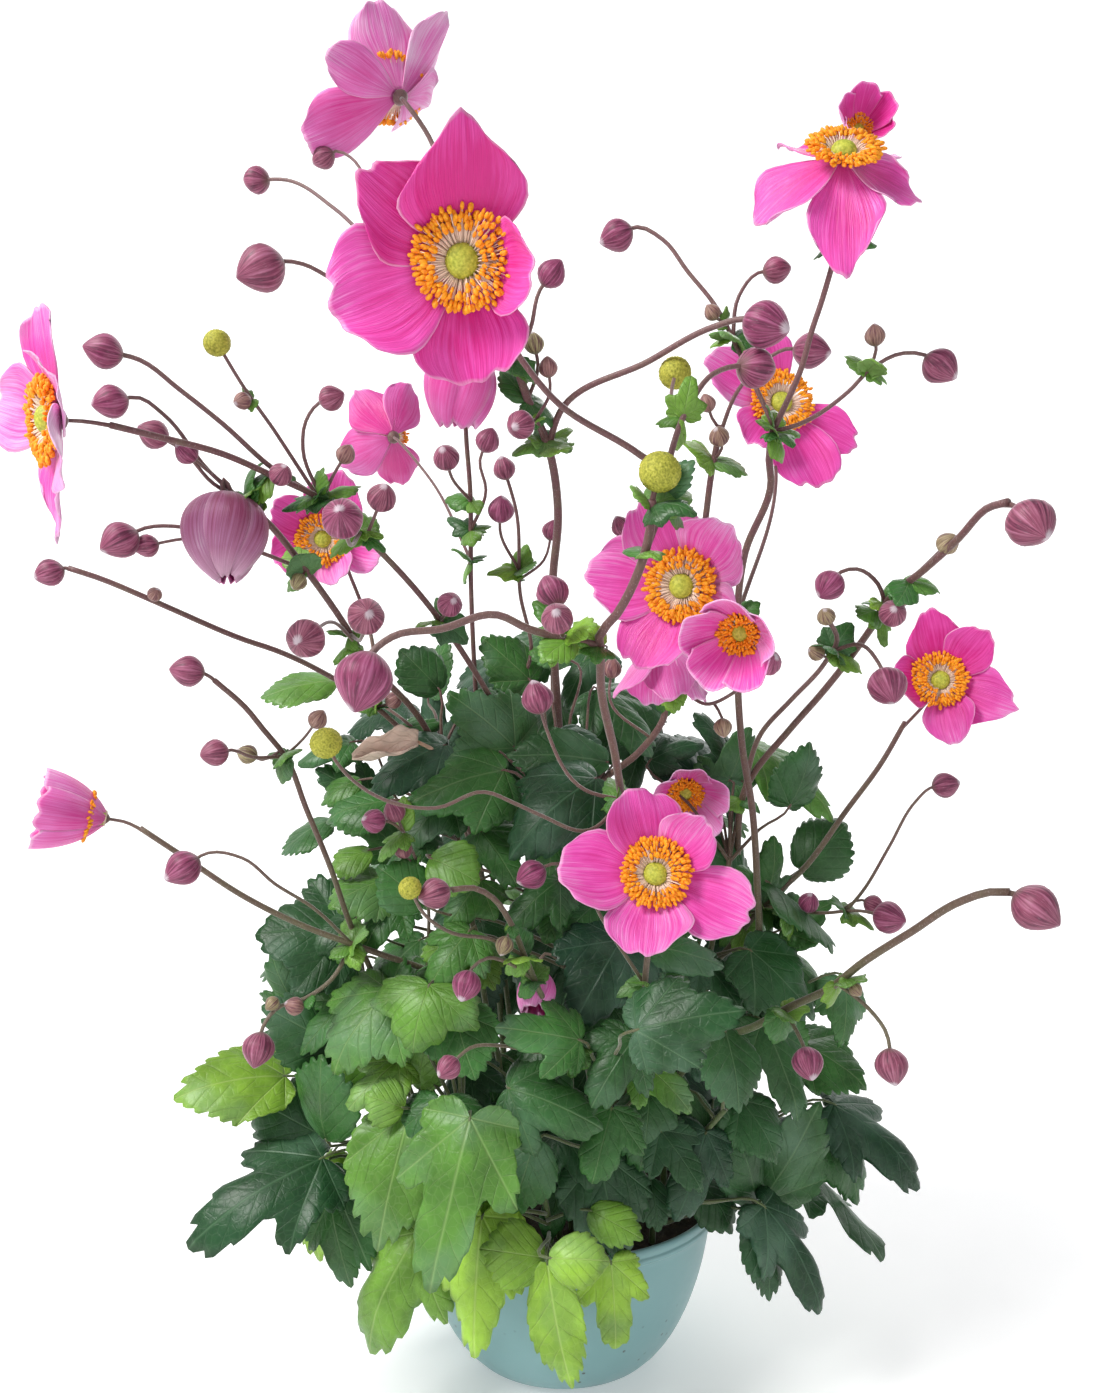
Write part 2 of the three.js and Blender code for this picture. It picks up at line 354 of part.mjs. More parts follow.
function seededRandom(seed) {
  let state = seed;
  return () => {
    state = (state * 1103515245 + 12345) % 2147483648;
    return state / 2147483648;
  };
}

function solid(geometry) {
  const bare = new THREE.BufferGeometry();
  bare.setAttribute('position', geometry.getAttribute('position'));
  bare.setIndex(geometry.getIndex());
  const merged = mergeVertices(bare, 1e-4);
  const index = merged.getIndex().array;
  const triangles = [];
  for (let i = 0; i < index.length; i += 3) {
    const [a, b, c] = [index[i], index[i + 1], index[i + 2]];
    if (a !== b && b !== c && c !== a) triangles.push(a, b, c);
  }
  const vertProperties = new Float32Array(merged.getAttribute('position').array);
  return new wasm.Manifold(new wasm.Mesh({ numProp: 3, vertProperties, triVerts: new Uint32Array(triangles) }));
}

function union(solids) {
  return solids.reduce((whole, piece) => whole.add(piece));
}

// The largest body of a solid, which drops loose scraps.
function largest(whole) {
  const bodies = whole.decompose();
  const kept = bodies.reduce((best, body) => (body.volume() > best.volume() ? body : best));
  const lost = whole.volume() - kept.volume();
  if (lost > 3) console.warn('   loose volume dropped', lost.toFixed(1), 'of', whole.volume().toFixed(1));
  return kept;
}

function placed(geometry, x, y, z, origin) {
  const matrix = new THREE.Matrix4().makeBasis(x, y, z).setPosition(origin);
  return geometry.applyMatrix4(matrix);
}

// A frame whose z axis points along a direction.
function frameAlong(direction) {
  const z = direction.clone().normalize();
  const reference = Math.abs(z.z) > 0.95 ? new THREE.Vector3(0, 1, 0) : up;
  const x = new THREE.Vector3().crossVectors(reference, z).normalize();
  return [x, new THREE.Vector3().crossVectors(z, x), z];
}

// A path of straight spans, with a ring of an extruded stem at each of its points.
class SpanPath extends THREE.Curve {
  constructor(points) {
    super();
    this.points = points;
  }

  getPoint(share) {
    const place = share * (this.points.length - 1);
    const i = Math.min(Math.floor(place), this.points.length - 2);
    return new THREE.Vector3().lerpVectors(this.points[i], this.points[i + 1], place - i);
  }

  getPointAt(share) {
    return this.getPoint(share);
  }

  getTangentAt(share) {
    return this.getTangent(share);
  }
}

// The points of a line without those that lie within a distance of the straight line past them.
function thinned(points, distance) {
  const [start, end] = [points[0], points[points.length - 1]];
  const chord = new THREE.Line3(start, end);
  let [far, index] = [0, 0];
  for (let i = 1; i < points.length - 1; i += 1) {
    const apart = chord.closestPointToPoint(points[i], true, new THREE.Vector3()).distanceTo(points[i]);
    if (apart > far) [far, index] = [apart, i];
  }
  if (far < distance) return [start, end];
  return [...thinned(points.slice(0, index + 1), distance), ...thinned(points.slice(index), distance).slice(1)];
}

// A stem of even thickness along a line of points.
function stemAlong(points, radius, sides, grow) {
  const reach = radius + grow / Math.cos(Math.PI / sides);
  const section = new THREE.Shape();
  for (let i = 0; i < sides; i += 1) {
    const angle = 2 * Math.PI * i / sides;
    const [x, y] = [reach * Math.cos(angle), reach * Math.sin(angle)];
    if (i) section.lineTo(x, y); else section.moveTo(x, y);
  }
  const extrudePath = new SpanPath(points);
  const settings = { steps: points.length - 1, bevelEnabled: false, extrudePath };
  const geometry = new THREE.ExtrudeGeometry(section, settings);
  if (sides < STEM_SIDES) narrowRoot(geometry, points[0], reach);
  return solid(geometry);
}

// The end of a twig that is sunk in its stalk is narrowed, so that it stays inside it.
function narrowRoot(geometry, root, reach) {
  const position = geometry.getAttribute('position');
  const point = new THREE.Vector3();
  for (let i = 0; i < position.count; i += 1) {
    point.fromBufferAttribute(position, i);
    if (point.distanceTo(root) < reach * 1.02) {
      point.lerp(root, 0.65);
      position.setXYZ(i, point.x, point.y, point.z);
    }
  }
}

// A body of revolution about an axis that starts at a point.
function turned(profile, facets, origin, direction) {
  const outline = profile.map(([radius, height]) => new THREE.Vector2(radius, height));
  const geometry = new THREE.LatheGeometry(outline, facets);
  const [x, y, z] = frameAlong(direction);
  geometry.rotateX(Math.PI / 2);
  return solid(placed(geometry, x, y, z, origin));
}

// A closed body from the upper and the lower points of thin plates, that share their faces,
// and the loops of their outlines.
function plates(upper, lower, faces, loops) {
  const count = upper.length;
  const index = [];
  faces.forEach(([a, b, c]) => index.push(a, b, c, count + c, count + b, count + a));
  for (const loop of loops) {
    loop.forEach((a, i) => {
      const b = loop[(i + 1) % loop.length];
      index.push(b, a, count + a, b, count + a, count + b);
    });
  }
  const geometry = new THREE.BufferGeometry();
  const position = [...upper, ...lower].flatMap((point) => point.toArray());
  geometry.setAttribute('position', new THREE.Float32BufferAttribute(position, 3));
  geometry.setIndex(index);
  return solid(geometry);
}

// The faces of a blade that starts at a root edge from one point to another. The blade's own
// points, after its start, are numbered from first.
function bladeFaces({ points, triangles }, left, right, first) {
  const faces = triangles.map((triangle) => {
    const leftSide = triangle.reduce((sum, i) => sum + points[i][1], 0) > 0;
    const start = leftSide ? left : right;
    return triangle.map((i) => (i ? first + i - 1 : start));
  });
  return [...faces, [left, right, first]];
}

// Points, outline and triangles of a blade that is alike on both sides of its midrib.
function mirroredOutline({ side, rib }) {
  const start = [0, 0];
  const tip = [1, 0];
  const right = side.map(([x, y]) => [x, -y]);
  const points = [start, ...rib, tip, ...side, ...right];
  const ribIndex = rib.map((_, i) => i + 1);
  const tipIndex = rib.length + 1;
  const leftIndex = side.map((_, i) => tipIndex + 1 + i);
  const rightIndex = right.map((_, i) => tipIndex + 1 + side.length + i);
  const triangles = [];
  const fill = (loop) => {
    const flat = loop.map((i) => new THREE.Vector2(...points[i]));
    THREE.ShapeUtils.triangulateShape(flat, []).forEach((t) => {
      const [a, b, c] = t.map((i) => loop[i]);
      const [p, q, r] = [points[a], points[b], points[c]];
      const turn = (q[0] - p[0]) * (r[1] - p[1]) - (q[1] - p[1]) * (r[0] - p[0]);
      triangles.push(turn > 0 ? [a, b, c] : [a, c, b]);
    });
  };
  fill([0, ...ribIndex, tipIndex, ...[...leftIndex].reverse()]);
  fill([0, ...rightIndex, tipIndex, ...[...ribIndex].reverse()]);
  const outline = [0, ...rightIndex, tipIndex, ...[...leftIndex].reverse()];
  return { points, outline, triangles };
}

const LOBED_BLADE = mirroredOutline(LOBED);
const LEAFLET_BLADE = mirroredOutline(LEAFLET);
const PETAL_BLADE = mirroredOutline({
  side: [[0.26, 0.27], [0.66, 0.52], [0.93, 0.36]],
  rib: [[0.6, 0]],
});

// Leaves

// A leaf: a flat leaf stalk that starts in a leafy stem and widens into the blade, which is
// arched along its length and folded at its midrib. Both faces share one triangulation.
function leaf(from, [junction, tip, widthShare, kind, toward], grow) {
  const along = new THREE.Vector3().subVectors(tip, junction);
  const length = along.length();
  along.normalize();
  const outward = new THREE.Vector3(junction.x + tip.x, junction.y + tip.y, 0).normalize();
  const facing = outward.multiplyScalar(0.5).addScaledVector(up, 0.75);
  facing.y -= toward;
  const normal = facing.addScaledVector(along, -facing.dot(along)).normalize();
  const side = new THREE.Vector3().crossVectors(normal, along);
  const blade = kind ? LEAFLET_BLADE : LOBED_BLADE;
  const wide = widthShare * length;
  const spread = 1 + 2.5 * grow / wide;
  const half = BLADE / 2 + 1.2 * grow;
  const upper = [];
  const lower = [];
  const add = (point, lift) => {
    upper.push(point.clone().addScaledVector(lift, half));
    lower.push(point.clone().addScaledVector(lift, -half));
  };
  blade.points.slice(1).forEach(([px, py]) => {
    const across = py * wide * spread;
    const share = px + (px > 0.5 ? grow : -grow) * 0.8 / length;
    const arch = 0.3 * length * share * (1 - share) - 0.16 * Math.abs(across);
    const point = junction.clone().addScaledVector(along, share * length);
    add(point.addScaledVector(side, across).addScaledVector(normal, arch), normal);
  });
  const base = upper.length;
  const way = junction.clone().sub(from).normalize();
  const bend = way.clone().add(along).normalize();
  const across = side.clone();
  [[junction, bend, 0.95], [from, way, 0.5]].forEach(([stop, ahead, reach]) => {
    across.addScaledVector(ahead, -across.dot(ahead)).normalize();
    const lift = new THREE.Vector3().crossVectors(ahead, across);
    add(stop.clone().addScaledVector(across, reach + grow), lift);
    add(stop.clone().addScaledVector(across, -reach - grow), lift);
  });
  const faces = bladeFaces(blade, base, base + 1, 0);
  const [a, b, c, d] = [0, 1, 2, 3].map((step) => base + step);
  faces.push([a, c, b], [b, c, d]);
  const rim = blade.outline.slice(1).map((i) => i - 1);
  const loop = [b, ...rim, a, c, d];
  return plates(upper, lower, faces, [loop]);
}

function soilHeight(radius) {
  const share = radius / (POT.rimRadius - POT.wall);
  return SOIL.crown + (SOIL.edge - SOIL.crown) * share * share;
}

function rootAt([x, y]) {
  return new THREE.Vector3(x, y, soilHeight(Math.hypot(x, y)) - SOIL.rootDepth + GAP);
}

// A leafy stem from the soil, with its leaves on leaf stalks. Each leaf is moved along
// the line of sight until it stands clear of the pieces made before it.
function leafyStem({ hole, top, leaves }, isClear) {
  const root = rootAt(hole);
  const tall = new THREE.Vector3(...top);
  const collar = new THREE.Vector3(hole[0], hole[1], soilHeight(Math.hypot(...hole)) + 6);
  const knee = new THREE.Vector3().lerpVectors(collar, tall, 0.5);
  knee.z += 0.06 * tall.z;
  const line = [root, collar, knee, tall];
  const path = new SpanPath(line);
  const parts = [(grow) => stemAlong(line, LEAFY_STEM, STEM_SIDES, grow)];
  const made = [];
  const standsFree = (body) => made.every((other) => body.intersect(other).volume() < 2) && isClear(body);
  for (const [junction, tip, ...rest] of leaves) {
    const leafAt = (shift) => {
      const base = moved(junction, shift);
      const end = moved(tip, shift);
      const reach = Math.hypot(base.x - tall.x, base.y - tall.y);
      const height = Math.min(tall.z - 2, Math.max(collar.z + 2, base.z - 0.45 * reach));
      let share = 0.34;
      while (share < 0.985 && path.getPoint(share).z < height) share += 0.01;
      const from = path.getPoint(share);
      return (grow) => leaf(from, [base, end, ...rest], grow);
    };
    const part = clearPlace(leafAt, standsFree);
    made.push(part(0));
    parts.push(part);
  }
  return (grow) => union(parts.map((part) => part(grow)));
}

// Leaves of a stem at the back: spread round its outer side and up its height.
function backLeaves({ top, leaves }, seed) {
  const random = seededRandom(seed);
  const middle = Math.atan2(top[1], top[0]);
  return Array.from({ length: leaves }, (_, i) => {
    const share = (i + 0.5) / leaves;
    const angle = middle + ((i * 0.62) % 1 - 0.5) * 1.5;
    const radius = 78 + 34 * random() + 18 * (1 - share);
    const height = 92 + share * (top[2] - 60) + 16 * random();
    const junction = new THREE.Vector3(radius * Math.cos(angle), radius * Math.sin(angle), height);
    const length = 46 + 16 * random();
    const turn = angle + (random() - 0.5) * 1.2;
    const drop = 0.35 + 0.5 * random();
    const tip = junction.clone().add(
      new THREE.Vector3(Math.cos(turn), Math.sin(turn), -drop).normalize().multiplyScalar(length),
    );
    return [junction, tip, 0.95, i % 3 === 2 ? 1 : 0, 0];
  });
}

// Blooms

// Frame of a bloom: x to the right and y up for someone who looks at its face, z its facing.
function bloomFrame(facing) {
  const z = new THREE.Vector3(...facing).normalize();
  const reference = Math.abs(z.z) > 0.97 ? new THREE.Vector3(0, 1, 0) : up;
  const x = new THREE.Vector3().crossVectors(reference, z).normalize();
  return [x, new THREE.Vector3().crossVectors(z, x), z];
}

function bloomOrigin({ seen: place, depth }) {
  return seen([...place, depth]);
}

// The points of one petal, after its start, in its bloom's frame: it rises from the receptacle
// at its lift and bends by its curl.
function petalPoints(reach, [turn, lengthShare, widthShare, lift, curl], [x, y, z], origin, grow) {
  const angle = THREE.MathUtils.degToRad(turn);
  const slope = THREE.MathUtils.degToRad(lift + curl / 2);
  const bend = THREE.MathUtils.degToRad(curl);
  const outward = x.clone().multiplyScalar(Math.cos(angle)).addScaledVector(y, Math.sin(angle));
  const across = new THREE.Vector3().crossVectors(z, outward);
  const along = outward.clone().multiplyScalar(Math.cos(slope)).addScaledVector(z, Math.sin(slope));
  const normal = new THREE.Vector3().crossVectors(along, across);
  const length = reach * lengthShare;
  const wide = reach * widthShare;
  const spread = 1 + 2.5 * grow / wide;
  const root = origin.clone().addScaledVector(outward, 0.6 * receptacleRadius(reach));
  const half = PETAL / 2 + 1.2 * grow;
  return PETAL_BLADE.points.slice(1).map(([px, py]) => {
    const share = px + (px > 0.5 ? grow : -grow) / length;
    const over = py * wide * spread;
    const tilt = PETAL_TILT * px;
    const side = across.clone().multiplyScalar(Math.cos(tilt)).addScaledVector(normal, Math.sin(tilt));
    const face = new THREE.Vector3().crossVectors(along, side);
    const height = -length * bend * 0.5 * share * (1 - share) + (0.2 + 0.4 * px) * over * over / wide;
    const point = root.clone().addScaledVector(along, share * length).addScaledVector(side, over);
    point.addScaledVector(face, height);
    return [point.clone().addScaledVector(face, half), point.clone().addScaledVector(face, -half)];
  });
}

function receptacleRadius(reach) {
  return reach > 30 ? 4.2 : 3;
}

// A cupped bloom: five petals that meet at their edges, with a waved rim and a seam between each two.
function cup(bloom, grow) {
  const [x, y, z] = bloomFrame(bloom.facing);
  const origin = bloomOrigin(bloom).addScaledVector(z, -BLOOM_BASE - 0.8);
  const [first] = bloom.petals;
  const lift = THREE.MathUtils.degToRad(first[3]);
  const bend = THREE.MathUtils.degToRad(first[4]);
  const columns = 15;
  const levels = [0.26, 0.66, 1];
  const position = [];
  const index = [];
  const wall = (PETAL + 2 * grow) / 2;
  for (const offset of [wall, -wall]) {
    position.push(0, 0, 1.2 - offset);
    for (const level of levels) {
      for (let i = 0; i < columns; i += 1) {
        const turn = THREE.MathUtils.degToRad(first[0] + 72 * Math.floor(i / 3) + [-36, -17, 17][i % 3]);
        const seam = i % 3 === 0;
        const long = bloom.reach * level * (seam ? 1 - 0.22 * level : 1) + (level === 1 ? grow : 0);
        const slope = lift + bend * level * 0.5;
        const out = (1.6 + long * Math.cos(slope)) * (seam ? 0.92 : 1) + offset;
        const tall = 1.6 + long * Math.sin(slope) * (1 - 0.1 * (1 - level));
        position.push(out * Math.cos(turn), out * Math.sin(turn), tall - offset * 0.4);
      }
    }
  }
  const half = 1 + columns * levels.length;
  for (let i = 0; i < columns; i += 1) {
    const j = (i + 1) % columns;
    index.push(0, 1 + j, 1 + i, half, half + 1 + i, half + 1 + j);
    levels.forEach((_, k) => {
      const [a, b] = [1 + k * columns + i, 1 + k * columns + j];
      const [c, d] = k < levels.length - 1 ? [a + columns, b + columns] : [a + half, b + half];
      index.push(a, b, c, b, d, c);
      if (k < levels.length - 1) index.push(half + a, half + c, half + b, half + b, half + c, half + d);
    });
  }
  const geometry = new THREE.BufferGeometry();
  geometry.setAttribute('position', new THREE.Float32BufferAttribute(position, 3));
  geometry.setIndex(index);
  return solid(placed(geometry, x, y, z, origin));
}

// An open bloom: its petals grow out of the rim of one receptacle.
function petals(bloom, grow) {
  if (bloom.cup) return cup(bloom, grow);
  const [x, y, z] = bloomFrame(bloom.facing);
  const origin = bloomOrigin(bloom);
  const wide = receptacleRadius(bloom.reach) + grow;
  const rows = [...bloom.petals].sort((a, b) => a[0] - b[0]);
  const half = PETAL / 2 + 1.2 * grow;
  const upper = [origin.clone().addScaledVector(z, half)];
  const lower = [origin.clone().addScaledVector(z, -BLOOM_BASE - grow)];
  const faces = [];
  const loop = [];
  rows.forEach((row, i) => {
    const before = (row[0] - rows[(i + rows.length - 1) % rows.length][0] + 360) % 360;
    const after = (rows[(i + 1) % rows.length][0] - row[0] + 360) % 360;
    const spread = Math.min(30, before / 2 - 3, after / 2 - 3);
    for (const turn of [row[0] + spread, row[0] - spread]) {
      const angle = THREE.MathUtils.degToRad(turn);
      const point = origin.clone().addScaledVector(x, wide * Math.cos(angle));
      point.addScaledVector(y, wide * Math.sin(angle));
      upper.push(point.clone().addScaledVector(z, half));
      lower.push(point.clone().addScaledVector(z, -half));
    }
    const [left, right] = [upper.length - 2, upper.length - 1];
    const first = upper.length;
    petalPoints(bloom.reach, row, [x, y, z], origin, grow).forEach(([top, bottom]) => {
      upper.push(top);
      lower.push(bottom);
    });
    faces.push([0, right, left], ...bladeFaces(PETAL_BLADE, left, right, first));
    loop.push(right, ...PETAL_BLADE.outline.slice(1).map((k) => first + k - 1), left);
  });
  const step = loop.length / rows.length;
  rows.forEach((_, i) => {
    const left = loop[(i + 1) * step - 1];
    const right = loop[((i + 1) * step) % loop.length];
    faces.push([0, left, right]);
  });
  return plates(upper, lower, faces, [loop]);
}

// The slope of a stamen and its reach from the axis, inside the petals behind it.
function stamenPlace(bloom, turn, long, eye) {
  let lift = 20;
  for (const petalRow of bloom.petals) {
    const apart = Math.abs(((turn - petalRow[0] + 540) % 360) - 180);
    if (apart < 75) lift = Math.max(lift, petalRow[3] + 0.3 * petalRow[4]);
  }
  const slope = THREE.MathUtils.degToRad(Math.min(lift + 9, 48));
  const full = long * Math.cos(slope);
  const open = 1 - Math.tan(slope) / Math.tan(THREE.MathUtils.degToRad(lift + 3));
  const limit = open > 0.02 ? 1.8 / open : full;
  return [slope, Math.max(Math.min(full, limit), 1.25 * eye)];
}

// The heart of a bloom: a dome of carpels in a ring of stamens, each above the petal behind it.
function heart(bloom, grow) {
  const [x, y, z] = bloomFrame(bloom.facing);
  const origin = bloomOrigin(bloom).addScaledVector(z, bloom.cup ? -1.6 : PETAL / 2 + GAP);
  const wide = bloom.reach > 30;
  const stamens = wide ? 12 : 8;
  const eye = wide ? 4.6 : 3.1;
  const long = 0.38 * bloom.reach;
  const count = 2 * stamens;
  const position = [0, 0, -2 * grow];
  const rim = [];
  const crown = [];
  for (let i = 0; i < count; i += 1) {
    const angle = Math.PI * 2 * i / count;
    const share = i % 2 ? 0.74 : 1;
    const [slope, reach] = stamenPlace(bloom, THREE.MathUtils.radToDeg(angle), long, eye);
    const [out, tall] = [share * reach + grow, share * reach * Math.tan(slope)];
    rim.push([out * Math.cos(angle), out * Math.sin(angle), tall - 2 * grow]);
    const inner = 0.8 * eye + grow;
    crown.push([inner * Math.cos(angle), inner * Math.sin(angle), 0.8 * eye * Math.tan(slope) + 0.35 * eye + grow]);
  }
  [...rim, ...crown].forEach((point) => position.push(...point));
  position.push(0, 0, eye * 1.9 + grow);
  const index = [];
  for (let i = 0; i < count; i += 1) {
    const j = (i + 1) % count;
    const [a, b, c, d] = [1 + i, 1 + j, 1 + count + i, 1 + count + j];
    index.push(0, b, a, c, d, 1 + 2 * count);
    if (i % 2) index.push(a, b, c, c, b, d); else index.push(a, b, d, a, d, c);
  }
  const geometry = new THREE.BufferGeometry();
  geometry.setAttribute('position', new THREE.Float32BufferAttribute(position, 3));
  geometry.setIndex(index);
  return solid(placed(geometry, x, y, z, origin));
}

// Flower stalks

// A bud, widest below its middle, whose pointed end leads away from its stalk.
function bud(centre, direction, width, grow) {
  const radius = width / 2;
  const long = width * 1.08;
  const along = direction.clone().normalize();
  const base = centre.clone().addScaledVector(along, -long * 0.5);
  const profile = width > 14
    ? [[0, 0], [0.7, 0.12], [1, 0.48], [0.6, 0.84], [0, 1]]
    : [[0, 0], [0.92, 0.26], [0.86, 0.62], [0, 1]];
  const last = profile.length - 1;
  const sized = profile.map(([r, h], i) => [
    r * radius + (i > 0 && i < last ? grow : 0), h * long + (i === last ? grow : 0) - (i === 0 ? grow : 0)]);
  return turned(sized, 5, base, along);
}

// A seed head: a round ball of small fruits.
function seedHead(centre, direction, width, grow) {
  const radius = width / 2 + grow;
  const along = direction.clone().normalize();
  const profile = [[0, -1], [0.62, -0.78], [1, 0], [0.62, 0.78], [0, 1]].map(([r, h]) => [r * radius, h * radius]);
  return turned(profile, 7, centre, along);
}

// The point on the lines of a stalk that is seen nearest to a place in the picture.
function nearestOn(lines, [x, y]) {
  let best = null;
  for (const points of lines) {
    for (let i = 1; i < points.length; i += 1) {
      for (let part = 0; part <= 10; part += 1) {
        const point = new THREE.Vector3().lerpVectors(points[i - 1], points[i], part / 10);
        const depth = point.y + VIEW.distance;
        const dx = VIEW.centreX + (point.x - VIEW.side) / depth * VIEW.focal - x;
        const dy = VIEW.centreY - (point.z - VIEW.eye) / depth * VIEW.focal - y;
        const apart = Math.hypot(dx, dy);
        if (!best || apart < best.apart - 1e-6) best = { apart, point };
      }
    }
  }
  return best.point;
}

// A twig from a point on its stalk, with its depth running evenly to its end.
function twigLine({ depth, at, bloom }, root, shift) {
  let length = 0;
  const lengths = at.map(([x, y], i) => {
    if (i) length += Math.hypot(x - at[i - 1][0], y - at[i - 1][1]);
    return length;
  });
  const near = root.y + VIEW.distance;
  const far = depth + shift;
  const points = at.map(([x, y], i) => seen([x, y, near + (far - near) * lengths[i] / length]));
  points[0] = root;
  if (bloom) {
    const { facing } = BLOOMS[bloom];
    const along = new THREE.Vector3(...facing).normalize();
    points.pop();
    points.push(bloomOrigin(BLOOMS[bloom]).addScaledVector(along, -9));
    points.push(bloomOrigin(BLOOMS[bloom]).addScaledVector(along, -BLOOM_BASE - GAP - 0.05));
  }
  const [, ...rest] = thinned(points, STRAIGHT);
  if (root.distanceTo(rest[0]) < 12) return [root, ...rest];
  return [root, root.clone().addScaledVector(rest[0].clone().sub(root).normalize(), 3), ...rest];
}

// A flower stalk with its twigs, buds and seed heads, up to the backs of its blooms. Each twig
// is moved along the line of sight until it stands clear of the pieces made before it.
function stalk({ hole, r, stem, twigs }, isClear) {
  const root = rootAt(hole);
  const collar = new THREE.Vector3(hole[0], hole[1], soilHeight(Math.hypot(...hole)) + 8);
  const trunk = [root, ...thinned([collar, ...stem.map(seen)], STRAIGHT)];
  const lines = [trunk];
  const parts = [(grow) => stemAlong(trunk, r, STEM_SIDES, grow)];
  if (!isClear(parts[0](0))) console.warn('   trunk is not clear');
  for (const twig of twigs) {
    const from = nearestOn(lines, twig.at[0]);
    const kept = {};
    const twigAt = (shift) => {
      const points = twigLine(twig, from, shift);
      const end = points[points.length - 1];
      const direction = new THREE.Vector3().subVectors(end, points[points.length - 2]);
      const width = (twig.bud ?? twig.seed ?? 0) / VIEW.focal * (twig.depth + shift);
      kept.line = points;
      return (grow) => {
        const pedicel = stemAlong(points, twig.r, PEDICEL_SIDES, grow);
        if (twig.bud) return pedicel.add(bud(end, direction, width, grow));
        return twig.seed ? pedicel.add(seedHead(end, direction, width, grow)) : pedicel;
      };
    };
    parts.push(clearPlace(twigAt, isClear));
    lines.push(kept.line);
  }
  return (grow) => union(parts.map((part) => part(grow)));
}

// Pot and soil

function wallRadius(height) {
  const share = height / POT.height;
  const rise = (1 - (1 - share) ** POT.bulge) ** (1 / POT.bulge);
  return POT.footRadius + (POT.bodyRadius - POT.footRadius) * rise;
}

function potSolid() {
  const levels = [0, 0.08, 0.3, 0.62, 1];
  const lip = POT.height - POT.rimHeight;
  const outside = levels.map((share) => [wallRadius(share * lip), share * lip]);
  const inside = levels.slice(2).reverse().map((share) => [wallRadius(share * lip) - POT.wall, share * lip]);
  const profile = [
    [0, 0], ...outside,
    [POT.rimRadius, lip + 1], [POT.rimRadius, POT.height],
    [POT.rimRadius - POT.wall, POT.height], ...inside,
    [wallRadius(POT.floor) - POT.wall, POT.floor], [0, POT.floor],
  ];
  const origin = new THREE.Vector3();
  let body = turned(profile, POT.facets, origin, up);
  for (let i = 0; i < POT.drainHoles; i += 1) {
    const angle = 2 * Math.PI * (i + 0.5) / POT.drainHoles;
    const hole = new THREE.CylinderGeometry(POT.drainRadius, POT.drainRadius, 4 * POT.floor, 6);
    hole.rotateX(Math.PI / 2);
    hole.translate(POT.drainCircle * Math.cos(angle), POT.drainCircle * Math.sin(angle), 0);
    body = body.subtract(solid(hole));
  }
  return body;
}

// The room that a leaf has to keep from the pot's outside and its rim.
function potClearance() {
  const [out, high, inner] = [POT.rimRadius + GAP, POT.height + GAP, POT.rimRadius - POT.wall - GAP];
  const shoulder = POT.height - POT.rimHeight - GAP;
  const body = [0.3, 0.62, 1].map((share) => [wallRadius(share * shoulder) + 2 * GAP, share * shoulder]);
  const profile = [[inner - 6, 20], ...body, [out, shoulder], [out, high], [inner, high], [inner - 6, 70]];
  return ringOf(profile);
}

// A ring of revolution about the pot's axis, from a closed profile.
function ringOf(profile) {
  const outline = [...profile, profile[0]].map(([radius, height]) => new THREE.Vector2(radius, height));
  const geometry = new THREE.LatheGeometry(outline, POT.facets);
  geometry.rotateX(Math.PI / 2);
  return solid(geometry);
}

function soilSolid(holes) {
  const lip = POT.height - POT.rimHeight;
  const inset = POT.wall + GAP + 0.1;
  const levels = [0.3, 0.62];
  const floor = POT.floor + GAP;
  const profile = [
    [0, floor], [wallRadius(floor) - inset - 1.5, floor],
    ...levels.map((share) => [wallRadius(share * lip) - inset - 1.2, share * lip]),
    [wallRadius(SOIL.edge) - inset - 0.4, SOIL.edge],
    [0, SOIL.crown],
  ];
  let body = turned(profile, POT.facets, new THREE.Vector3(), up);
  for (const [x, y, radius] of holes) {
    const depth = SOIL.rootDepth;
    const hole = new THREE.CylinderGeometry(radius, radius, 2 * depth, SOIL.holeSides);
    hole.rotateX(Math.PI / 2);
    hole.translate(x, y, soilHeight(Math.hypot(x, y)));
    body = body.subtract(solid(hole));
  }
  return body;
}

// Assembly: each piece is cut clear of the pieces made before it.

const finishes = {
  pot: { color: 0x6b9aa0, roughness: 0.42 },
  soil: { color: 0x2b2019, roughness: 1 },
  stalk: { color: 0x7a5058, roughness: 0.6 },
  petals: { color: 0xe23f9f, roughness: 0.55 },
  heart: { color: 0xf2a41c, roughness: 0.7 },
  foliage: { color: 0x2f5a3d, roughness: 0.5 },
  young: { color: 0x86b53a, roughness: 0.5 },
  withered: { color: 0xb08a6a, roughness: 0.9 },
};

const group = new THREE.Group();
const taken = [];

function boxesMeet(a, b) {
  return [0, 1, 2].every((axis) => a.min[axis] <= b.max[axis] && b.min[axis] <= a.max[axis]);
}

function near(body) {
  const box = body.boundingBox();
  return taken.filter((piece) => boxesMeet(piece.box, box)).map((piece) => piece.clearance);
}

function isClear(body) {
  return near(body).every((clearance) => body.intersect(clearance).isEmpty());
}

function addPiece(name, finish, whole, clearance) {
  const cutters = near(whole);
  const piece = cutters.length ? largest(whole.subtract(union(cutters))) : whole;
  const { vertProperties, triVerts } = piece.simplify(0.03).getMesh();
  const geometry = new THREE.BufferGeometry();
  geometry.setAttribute('position', new THREE.BufferAttribute(new Float32Array(vertProperties), 3));
  geometry.setIndex(new THREE.BufferAttribute(new Uint32Array(triVerts), 1));
  geometry.computeVertexNormals();
  const mesh = new THREE.Mesh(geometry, new THREE.MeshStandardMaterial({ ...finishes[finish], metalness: 0 }));
  mesh.name = name;
  group.add(mesh);
  if (clearance) taken.push({ box: clearance.boundingBox(), clearance });
}

